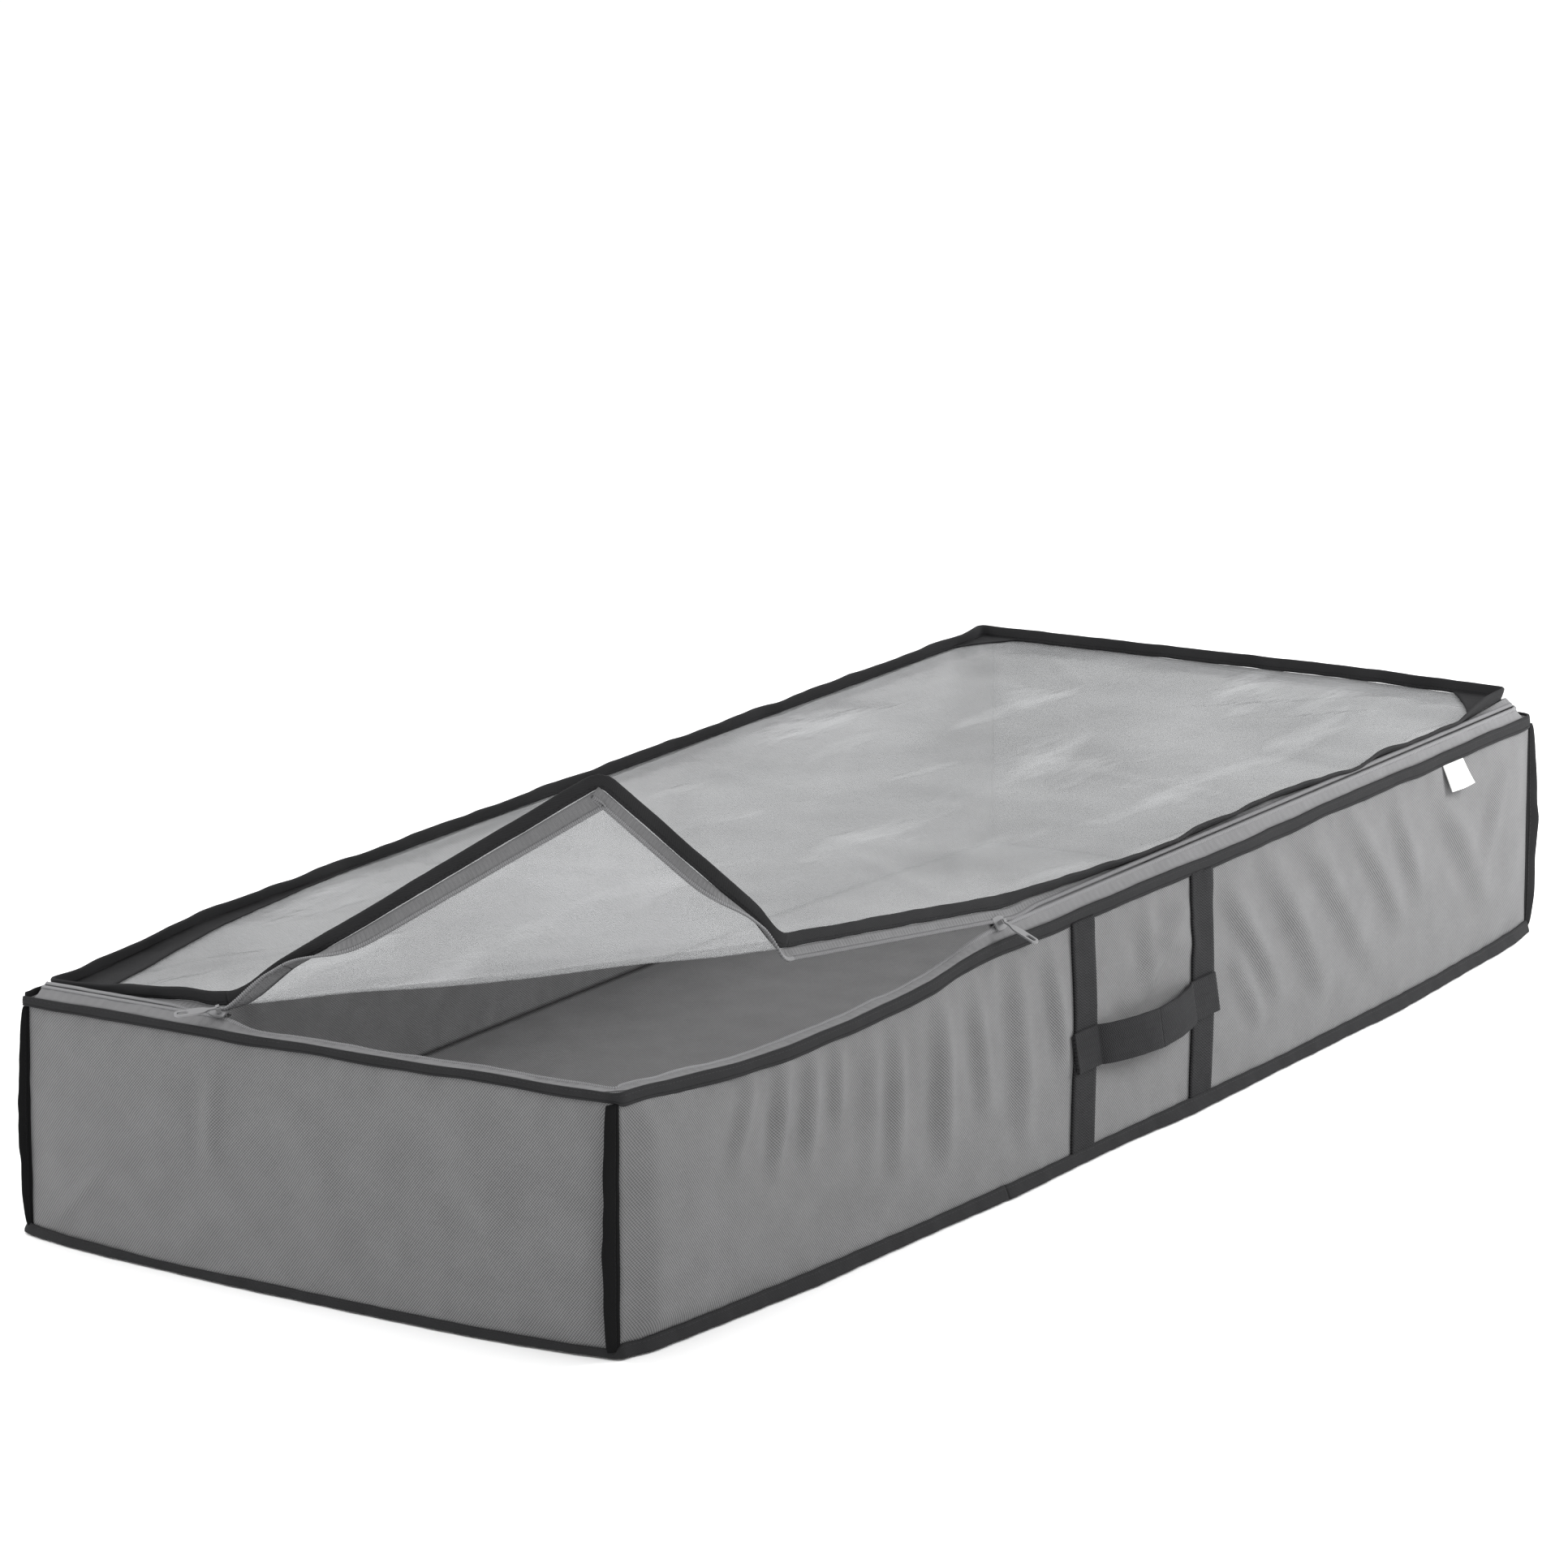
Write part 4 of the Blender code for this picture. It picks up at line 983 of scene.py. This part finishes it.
def lid_sheet(name, cuts, corners, rest):
    """Part of the window. cuts are (point, way out, whether the outside goes) and corners are
    (x sign, y sign, radius)."""
    columns = np.linspace(-LID_X, LID_X, 206)
    rows = np.linspace(-LID_Y, LID_BACK_Y, 84)
    x, y = np.meshgrid(columns, rows, indexing="ij")
    numbers, _ = grid_quads(*x.shape)
    mesh = bpy.data.meshes.new(name)
    flat = np.stack([x, y, np.zeros_like(x)], -1).reshape(-1, 3)
    mesh.from_pydata(flat.tolist(), [], numbers.tolist())
    shape = bmesh.new()
    shape.from_mesh(mesh)

    cuts = list(cuts)
    for x_sign, y_sign, radius in corners:
        top = LID_Y if y_sign < 0 else LID_BACK_Y
        centre = np.array((x_sign * (LID_X - radius), y_sign * (top - radius)))
        for turn in (15, 30, 45, 60, 75):
            angle = math.radians(turn)
            way = np.array((x_sign * math.cos(angle), y_sign * math.sin(angle)))
            cuts.append((centre + way * radius, way, True))
    for point, way, clear in cuts:
        parts = shape.verts[:] + shape.edges[:] + shape.faces[:]
        plane = {"plane_co": (*point[:2], 0), "plane_no": (*way[:2], 0)}
        bmesh.ops.bisect_plane(shape, geom=parts, clear_outer=clear, **plane)
    shape.to_mesh(mesh)
    shape.free()
    spots = np.zeros(len(mesh.vertices) * 3)
    mesh.vertices.foreach_get("co", spots)
    spots = spots.reshape(-1, 3)
    layer = mesh.uv_layers.new(name="UVMap")
    loops = np.zeros(len(mesh.loops), int)
    mesh.loops.foreach_get("vertex_index", loops)
    layer.data.foreach_set("uv", spots[loops, :2].astype(np.float32).ravel())
    closed = on_lid(spots[:, 0], spots[:, 1], window_height(spots[:, 0], spots[:, 1]))
    mesh.vertices.foreach_set("co", rest(closed).astype(np.float32).ravel())
    mesh.materials.append(VINYL)
    mesh.update()
    draft = placed(f"{name}_draft", mesh)
    solid = draft.modifiers.new("thickness", "SOLIDIFY")
    solid.thickness = VINYL_THICKNESS
    solid.offset = 0.0
    bpy.context.view_layer.update()
    final = bpy.data.meshes.new_from_object(draft.evaluated_get(bpy.context.evaluated_depsgraph_get()))
    bpy.data.objects.remove(draft)
    final.name = name
    final.shade_smooth()
    return placed(name, final)


CORNER_RADIUS = 7 * MM
FLAP_RADIUS = 13 * MM


def make_windows():
    back_corners = [(1, 1, CORNER_RADIUS), (1, -1, CORNER_RADIUS), (-1, 1, CORNER_RADIUS)]
    cuts = [
        (END_STOP, FLAP_WAY, True),
        (END_STOP, FOLD_WAY, False),
        (END_STOP - FOLD_WAY * LID_ZONE, FOLD_WAY, False),
    ]
    lid = lid_sheet("lid_vinyl", cuts, back_corners, lid_rest)
    stand_for(lid, LID_TO_FOLD, "clear_window", "lid_window", "fold_window")
    cuts = [(END_STOP, -FLAP_WAY, True)]
    flap = lid_sheet("flap_vinyl", cuts, [(-1, -1, FLAP_RADIUS)], flap_rest)
    stand_for(flap, FOLD_TO_FLAP, "clear_window", "flap_window")
    return lid, flap


# ------------------------------------------------------------------ the lid's bound edge
LID_LEAN = 75.0
FLAP_LEAN = 25.0
FLANGE = 8.6 * MM


def lid_outward(plan):
    """For a line round the lid, anticlockwise, the way out along the lid's own plane."""
    way = headings(plan)
    out = np.column_stack([way[:, 1], -way[:, 0] * math.cos(LID_TILT), way[:, 0] * math.sin(LID_TILT)])
    return unit(out)


def lid_band(name, corners, radius, lean, rest, body, nodes, seed):
    """A bound edge along part of the lid's outline."""
    plan, places = rounded(corners, radius, BAND_STEP)
    out = lid_outward(plan)
    angle = lean(places) + 8 * ripple(places, seed, 0.13)
    across, normal = leaning(out, angle, LID_UP)
    line = on_lid(plan[:, 0], plan[:, 1], 0.2 * MM * ripple(places, seed + 1, 0.06))
    section = band_section(FLANGE, BAND_THICKNESS, groove=True)
    band = make_band(name, line - out * 0.3 * MM, across, normal, section, BINDING, rest=rest)
    return stand_for(band, body, "binding_tape", *nodes)


def closed_lean(places):
    """The edge stands up by the open corner, lies over along the closed front and leans in at the back."""
    front = smooth(places / 0.20 - 1.0) * smooth((0.84 - places) / 0.06)
    back_at = LID_X - BEND[0] + LID_Y + LID_BACK_Y
    back = smooth((places - back_at) / 0.03) * smooth((back_at + 2 * LID_X - places) / 0.03)
    return LID_LEAN - 38.0 * front + 27.0 * back


def flap_lean(places):
    """Along the open corner the edge lies flatter, but for its two ends, where it meets the rest."""
    settle = smooth(places / 0.05) * smooth((places[-1] - places) / 0.05)
    return LID_LEAN + (FLAP_LEAN - LID_LEAN) * settle


def make_lid_bindings():
    stop, bend, back = END_STOP[:2], BEND[:2], LID_BACK_Y
    whole = [bend, (LID_X, -LID_Y), (LID_X, back), (-LID_X, back), stop]
    nodes = ("lid_binding", "fold_binding")
    name = "lid_edge_binding"
    lid = lid_band(name, whole, CORNER_RADIUS, closed_lean, lid_rest, LID_TO_FOLD, nodes, 121)
    open_part = [stop, (-LID_X, -LID_Y), bend]
    nodes = ("flap_binding",)
    name = "flap_edge_binding"
    flap = lid_band(name, open_part, FLAP_RADIUS, flap_lean, flap_rest, FOLD_TO_FLAP, nodes, 124)
    return lid, flap


# Each corner of the lid where the hem laps over the window, and how far along and across the lid.
LID_CORNERS = {
    "near_back": (-1, 1, 300 * MM, 30 * MM),
    "far_back": (1, 1, 40 * MM, 28 * MM),
    "far_front": (1, -1, 44 * MM, 34 * MM),
}


def make_lid_corners():
    for name, (x_sign, y_sign, wide, deep) in LID_CORNERS.items():
        across = np.linspace(0, 1, 60)[:, None]
        up = np.linspace(0.0, 1, 10)[None, :]
        x = x_sign * (LID_X - 0.8 * MM - wide * across)
        edge_y = LID_BACK_Y if y_sign > 0 else LID_Y
        tip = deep * (1 - across) ** 1.3 + 1.0 * MM
        y = y_sign * (edge_y - 0.8 * MM - tip * up)
        lift = window_height(x, y) + 1.1 * MM
        patch = make_sheet(f"lid_corner_{name}", on_lid(x, y, lift), x, y, 0.9 * MM, BINDING)
        stand_for(patch, "lid", "binding_tape")


# ------------------------------------------------------------------ the lid's half of the zip
ROOT_END = 47 * MM
ROOT_FRONT = 30 * MM
TWIST = 60 * MM
FLAP_STOP = 9 * MM
END_WAY = unit(PEAK - flap_full(END_STOP))
FRONT_WAY = unit(PEAK - flap_full(BEND))
END_ROOT_REST = flap_full(END_STOP) + END_WAY * ROOT_END
FRONT_ROOT_REST = flap_full(BEND) + FRONT_WAY * ROOT_FRONT
FLAP_TO_END = ("flap", "flap_end_tape", tuple(END_ROOT_REST), tuple(END_ROOT_REST + END_WAY * TWIST))
FLAP_TO_FRONT = (
    "flap",
    "flap_front_tape",
    tuple(FRONT_ROOT_REST),
    tuple(FRONT_ROOT_REST + FRONT_WAY * TWIST),
)


def end_tape_rest(closed):
    return settled(flap_full(closed), "end_tape_turn", END_REST, *FLAP_TO_END[2:])


def front_tape_rest(closed):
    return settled(flap_full(closed), "front_tape_turn", FRONT_REST, *FLAP_TO_FRONT[2:])


def make_lid_zip():
    line, places, inward, across, normal, share = zip_line(ZIP_STEP)
    near = (line[:, 0] < 0) & (share < 0.5)
    front = share >= 0.5
    end_at = places[near][np.argmin(np.abs(line[near, 1] - END_STOP[1]))]
    bend_at = places[front][np.argmin(np.abs(line[front, 0] - BEND[0]))]
    corner_at = places[np.argmin(np.abs(line[:, 0] + COIL_X) + np.abs(line[:, 1] + COIL_Y))]
    end_root, front_root = end_at + ROOT_END, bend_at - ROOT_FRONT
    peak_in, peak_out = corner_at - FLAP_STOP, corner_at + FLAP_STOP
    runs = (
        ("lid_end", 0, end_at, lid_rest, LID_TO_FOLD, ("lid_end_zip",)),
        ("lid_front", bend_at, places[-1], lid_rest, LID_TO_FOLD, ("lid_front_zip", "fold_zip")),
        ("end_root", end_at, end_root, flap_rest, FOLD_TO_FLAP, ()),
        ("front_root", front_root, bend_at, flap_rest, FOLD_TO_FLAP, ()),
        ("flap_end", end_root, peak_in, end_tape_rest, FLAP_TO_END, ("flap_end_zip",)),
        ("flap_front", peak_out, front_root, front_tape_rest, FLAP_TO_FRONT, ("flap_front_zip",)),
    )
    middle = line + across * (COIL_SPACE / 2 + COIL_WIDTH / 2)
    middle = middle + normal * (0.15 * MM * ripple(places, 131, 0.05))[:, None]
    reach = (HALF_LENGTH - LID_X) / 2 * (1 - share) + (HALF_WIDTH - LID_Y) / 2 * share - 0.6 * MM
    edge = line + inward * reach[:, None]
    edge[:, 2] = lid_z(edge[:, 1]) - lid_drop(edge[:, 0], edge[:, 1]) - 0.7 * MM
    ends = {}
    for name, start, stop, rest, body, nodes in runs:
        pick = np.nonzero((places >= start - 0.1 * MM) & (places <= stop + 0.1 * MM))[0]
        spots = places[pick]
        strip = (middle[pick], across[pick], normal[pick])
        section = coil_section(spots)
        coil = make_band(f"{name}_coil", *strip, section, COIL, rest=rest)
        stand_for(coil, body, "zip_coil", *[f"{node}_coil" for node in nodes])
        inner = (middle - across * -0.35 * COIL_WIDTH)[pick]
        pleat = 0.28 * MM * np.sin(spots * 2 * math.pi / (3.1 * MM)) + 0.3 * MM * ripple(spots, 132, 0.04)
        sheet = carried(rest, tape_between(inner, edge[pick], normal[pick] * pleat[:, None]))
        flat = np.linspace(0, 8 * MM, 6)[None]
        tape = make_sheet(f"{name}_tape", sheet, spots[:, None], flat, TAPE_THICKNESS, TAPE)
        stand_for(tape, body, "zip_tape", *[f"{node}_tape" for node in nodes])
        ends[name] = (carried(rest, band_grid(*strip, section)), sheet)
    make_tape_corner(ends["flap_end"], ends["flap_front"])


def bridge(first, before, last, after, count):
    """A smooth run of rows from one row of points to another, leaving and arriving along their strips."""
    reach = np.linalg.norm(last - first, axis=-1, keepdims=True)
    leave = unit(first - before) * reach
    arrive = unit(after - last) * reach
    t = np.linspace(0, 1, count)[:, None, None]
    return (
        (2 * t**3 - 3 * t**2 + 1) * first
        + (t**3 - 2 * t**2 + t) * leave
        + (3 * t**2 - 2 * t**3) * last
        + (t**3 - t**2) * arrive
    )


def make_tape_corner(end_run, front_run):
    """The short turn of tape and teeth at the peak of the open corner."""
    (end_coil, end_tape), (front_coil, front_tape) = end_run, front_run
    tape_grid = bridge(end_tape[-1], end_tape[-4], front_tape[0], front_tape[3], 22)
    spots = np.linspace(0, 2 * FLAP_STOP, 22)[:, None]
    rows = np.linspace(0, 8 * MM, tape_grid.shape[1])[None]
    tape = make_sheet("peak_tape", tape_grid, spots, rows, TAPE_THICKNESS, TAPE)
    stand_for(tape, "flap", "zip_tape")
    count = int(2 * FLAP_STOP / ZIP_STEP)
    ring = bridge(end_coil[-1], end_coil[-9], front_coil[0], front_coil[8], count)
    centre = ring.mean(1)
    across = unit((ring[:, 0] + ring[:, -1]) / 2 - centre)
    normal = unit((ring[:, 1] + ring[:, 2]) / 2 - centre)
    section = coil_section(np.arange(count) * ZIP_STEP)
    coil = make_band("peak_coil", centre, across, normal, section, COIL)
    stand_for(coil, "flap", "zip_coil")


# ------------------------------------------------------------------ handle and label
HANDLE_OVERLAP = 1.5 * MM
HANDLE_HEIGHT = 25 * MM
HANDLE_LEAN = 0.16
HANDLE_BULGE = 10 * MM
HANDLE_SAG = 1.5 * MM
WEB_THICKNESS = 1.7 * MM
HANDLE = JOINTS["handle_swing"]["pos_m"]
STRAPS = {name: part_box(f"handle_strap_{name}") for name in ("left", "right")}
STRAP_WIDTH = 25.5 * MM
STRAP_SLANT = 33.0 * MM


def strap_edges(name, z):
    """The two edges of a strap at a height. It leans towards the near end as it goes down."""
    top = STRAPS[name][1].x - STRAP_SLANT * (1 - z / RIM_LOW)
    return top - STRAP_WIDTH - 5 * MM, top - 5 * MM


def make_straps():
    for name in STRAPS:
        z = np.linspace(BASE_HIGH - 1.5 * MM, RIM_LOW + 1.5 * MM, 60)[:, None]
        left, right = strap_edges(name, z)
        share = np.linspace(0, 1, 9)[None, :]
        x = left * (1 - share) + right * share
        x, z = np.broadcast_arrays(x, z)
        grid = wall_point("front", x, z, 1.0 * MM)
        strap = make_sheet(f"strap_{name}", grid, z, share * STRAP_WIDTH, 1.5 * MM, WEBBING)
        stand_for(strap, "box", "webbing", f"handle_strap_{name}")


def web_section(height, thickness):
    """Webbing seen end on: flat, with rounded edges."""
    half = height / 2
    side = np.linspace(-half + 0.8 * MM, half - 0.8 * MM, 9)
    front = [(y, thickness / 2) for y in side]
    back = [(y, -thickness / 2) for y in side[::-1]]
    return np.array(
        front
        + [(half - 0.25 * MM, thickness * 0.38), (half, 0), (half - 0.25 * MM, -thickness * 0.38)]
        + back
        + [(-half + 0.25 * MM, -thickness * 0.38), (-half, 0), (-half + 0.25 * MM, thickness * 0.38)]
    )


def make_handle():
    """Two pieces that meet at the middle of the bow. Each bends away from its sewn end."""
    start = strap_edges("left", HANDLE[2])[1] + HANDLE_OVERLAP
    stop = strap_edges("right", HANDLE[2])[0] - HANDLE_OVERLAP
    span = stop - start
    outer = STRAP_WIDTH + 2 * HANDLE_OVERLAP
    face = 1.0 * MM + 0.75 * MM + WEB_THICKNESS / 2 + 0.1 * MM
    begin_at = 0.0
    for name, sign in (("left", 1), ("right", -1)):
        flat = np.linspace(-outer, 0, 14)[:-1]
        free = np.linspace(0, span / 2, 40)
        reach = np.concatenate([flat, free])
        bow = np.sin(math.pi * np.clip(reach / span, 0, 1)) ** 0.7
        x = start + reach if sign > 0 else stop - reach
        z = HANDLE[2] - HANDLE_SAG * bow
        wall = wall_point("front", x, np.full_like(x, HANDLE[2]), face)
        root = wall_point("front", np.array([start, stop]), np.array([HANDLE[2]] * 2), face)[:, 1]
        base = np.where(reach < 0, wall[:, 1], root[0] + (root[1] - root[0]) * (x - start) / span)
        line = np.column_stack([x, base - HANDLE_BULGE * bow, z])
        way = headings(line) * sign
        way[-1] = unit(np.array((span, root[1] - root[0], 0.0)))
        across = unit(np.broadcast_to((0.0, HANDLE_LEAN, 1.0), line.shape))
        normal = unit(np.cross(way, across)) * -1
        normal = np.where((normal[:, 1] > 0)[:, None], -normal, normal)
        line = line + across * (0.25 * MM * ripple(x, 141, 0.05))[:, None]
        section = web_section(HANDLE_HEIGHT, WEB_THICKNESS)
        strip = [part[::sign] for part in (line, across, normal)]
        grab = make_band(f"handle_{name}", *strip, section, WEBBING, start=begin_at)
        # The weave runs on from the left piece into the right one.
        begin_at = np.linalg.norm(np.diff(line, axis=0), axis=1).sum()
        begin = (x[len(flat)], HANDLE[1], HANDLE[2])
        end = (x[len(flat)] + sign * 14 * MM, HANDLE[1], HANDLE[2])
        nodes = [f"handle_end_{name}"] + (["handle_bow"] if sign > 0 else [])
        stand_for(grab, ("box", "handle", begin, end), "webbing", *nodes)


LABEL_LENGTH = 19 * MM
LABEL_LEAN = 27


def make_label():
    low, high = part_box("label")
    x = np.linspace(low.x, high.x, 15)[None, :]
    drop = np.linspace(0, 1, 16)[:, None]
    lean = math.radians(LABEL_LEAN)
    x, drop = np.broadcast_arrays(x, drop)
    side = (x - (low.x + high.x) / 2) / (high.x - low.x)
    curl = 2.2 * MM * drop**2 * (side + 0.3) + 0.8 * MM * np.cos(side * 4) * drop
    y = high.y + 0.4 * MM - np.sin(lean) * LABEL_LENGTH * drop - curl
    z = high.z - math.cos(lean) * LABEL_LENGTH * drop + 1.2 * MM * side * drop
    grid = np.stack([x, y, z], -1)
    label = make_sheet("side_label", grid, x - low.x, drop * LABEL_LENGTH, 0.7 * MM, LABEL)
    return stand_for(label, "box", "label_white", "label")


# ------------------------------------------------------------------ sliders
def finish_sliders():
    """The sliders and their pulls keep their CAD shape, with their edges eased."""
    for name in ("end_slider", "end_pull", "front_slider", "front_pull"):
        node = frame["nodes"][name]
        node.data.materials.clear()
        node.data.materials.append(METAL)
        ease = node.modifiers.new("ease", "BEVEL")
        ease.width = 0.18 * MM
        ease.segments = 2
        ease.limit_method = "ANGLE"


# ------------------------------------------------------------------ camera, light and floor
CAMERA = Vector((-4.07623, -2.66593, 1.45500))
AZIMUTH = math.radians(56.512)
ELEVATION = math.radians(14.577)
FOCAL_LENGTH = 185.52


# Each lamp: its place, where it points, its size and its power. None of them shows in a gloss.
LAMPS = {
    "key": ((1.15, -1.05, 0.85), (0.15, -0.2, 0.08), 0.8, 31),
    "top": ((0.0, 0.9, 3.2), (0, 0, 0), 2.0, 30),
    "side": ((-1.05, 1.25, 0.75), (-0.55, 0.0, 0.08), 0.45, 11),
}
WORLD_LIGHT = 1.05
FLOOR_HALF = 40.0


def aim(piece, place, way):
    """A camera or a lamp at a place, looking along a way."""
    piece.location = place
    piece.rotation_mode = "QUATERNION"
    piece.rotation_quaternion = way.to_track_quat("-Z", "Y")


def make_camera():
    data = bpy.data.cameras.new("camera")
    data.lens = FOCAL_LENGTH
    data.sensor_width = 36
    data.clip_start = 0.05
    data.clip_end = 100
    camera = placed("camera", data)
    flat = math.cos(ELEVATION)
    ahead = Vector((flat * math.sin(AZIMUTH), flat * math.cos(AZIMUTH), -math.sin(ELEVATION)))
    aim(camera, CAMERA, ahead)
    bpy.context.scene.camera = camera


def make_light(name, place, target, size, power):
    data = bpy.data.lights.new(name, "AREA")
    data.shape = "DISK"
    data.size = size
    data.energy = power
    lamp = placed(name, data)
    lamp.visible_glossy = False
    aim(lamp, place, Vector(target) - Vector(place))


def make_studio():
    bpy.context.scene.view_settings.view_transform = "Standard"
    world = bpy.data.worlds.new("studio")
    bpy.context.scene.world = world
    world.use_nodes = True
    background = world.node_tree.nodes["Background"]
    background.inputs["Color"].default_value = (1, 1, 1, 1)
    background.inputs["Strength"].default_value = WORLD_LIGHT
    for name, lamp in LAMPS.items():
        make_light(name, *lamp)
    mesh = bpy.data.meshes.new("floor")
    size = FLOOR_HALF
    corners = [(-size, -size, 0), (size, -size, 0), (size, size, 0), (-size, size, 0)]
    mesh.from_pydata(corners, [], [(0, 1, 2, 3)])
    mesh.materials.append(floor_plain())
    floor = placed("floor", mesh)


# ------------------------------------------------------------------ the bag
make_camera()
make_studio()
PANELS = make_walls()
make_box_bindings()
make_corner_flanges()
make_box_zip()
make_straps()
LID_VINYL, FLAP_VINYL = make_windows()
LID_EDGE, FLAP_EDGE = make_lid_bindings()
make_lid_corners()
make_lid_zip()
make_handle()
SIDE_LABEL = make_label()
finish_sliders()
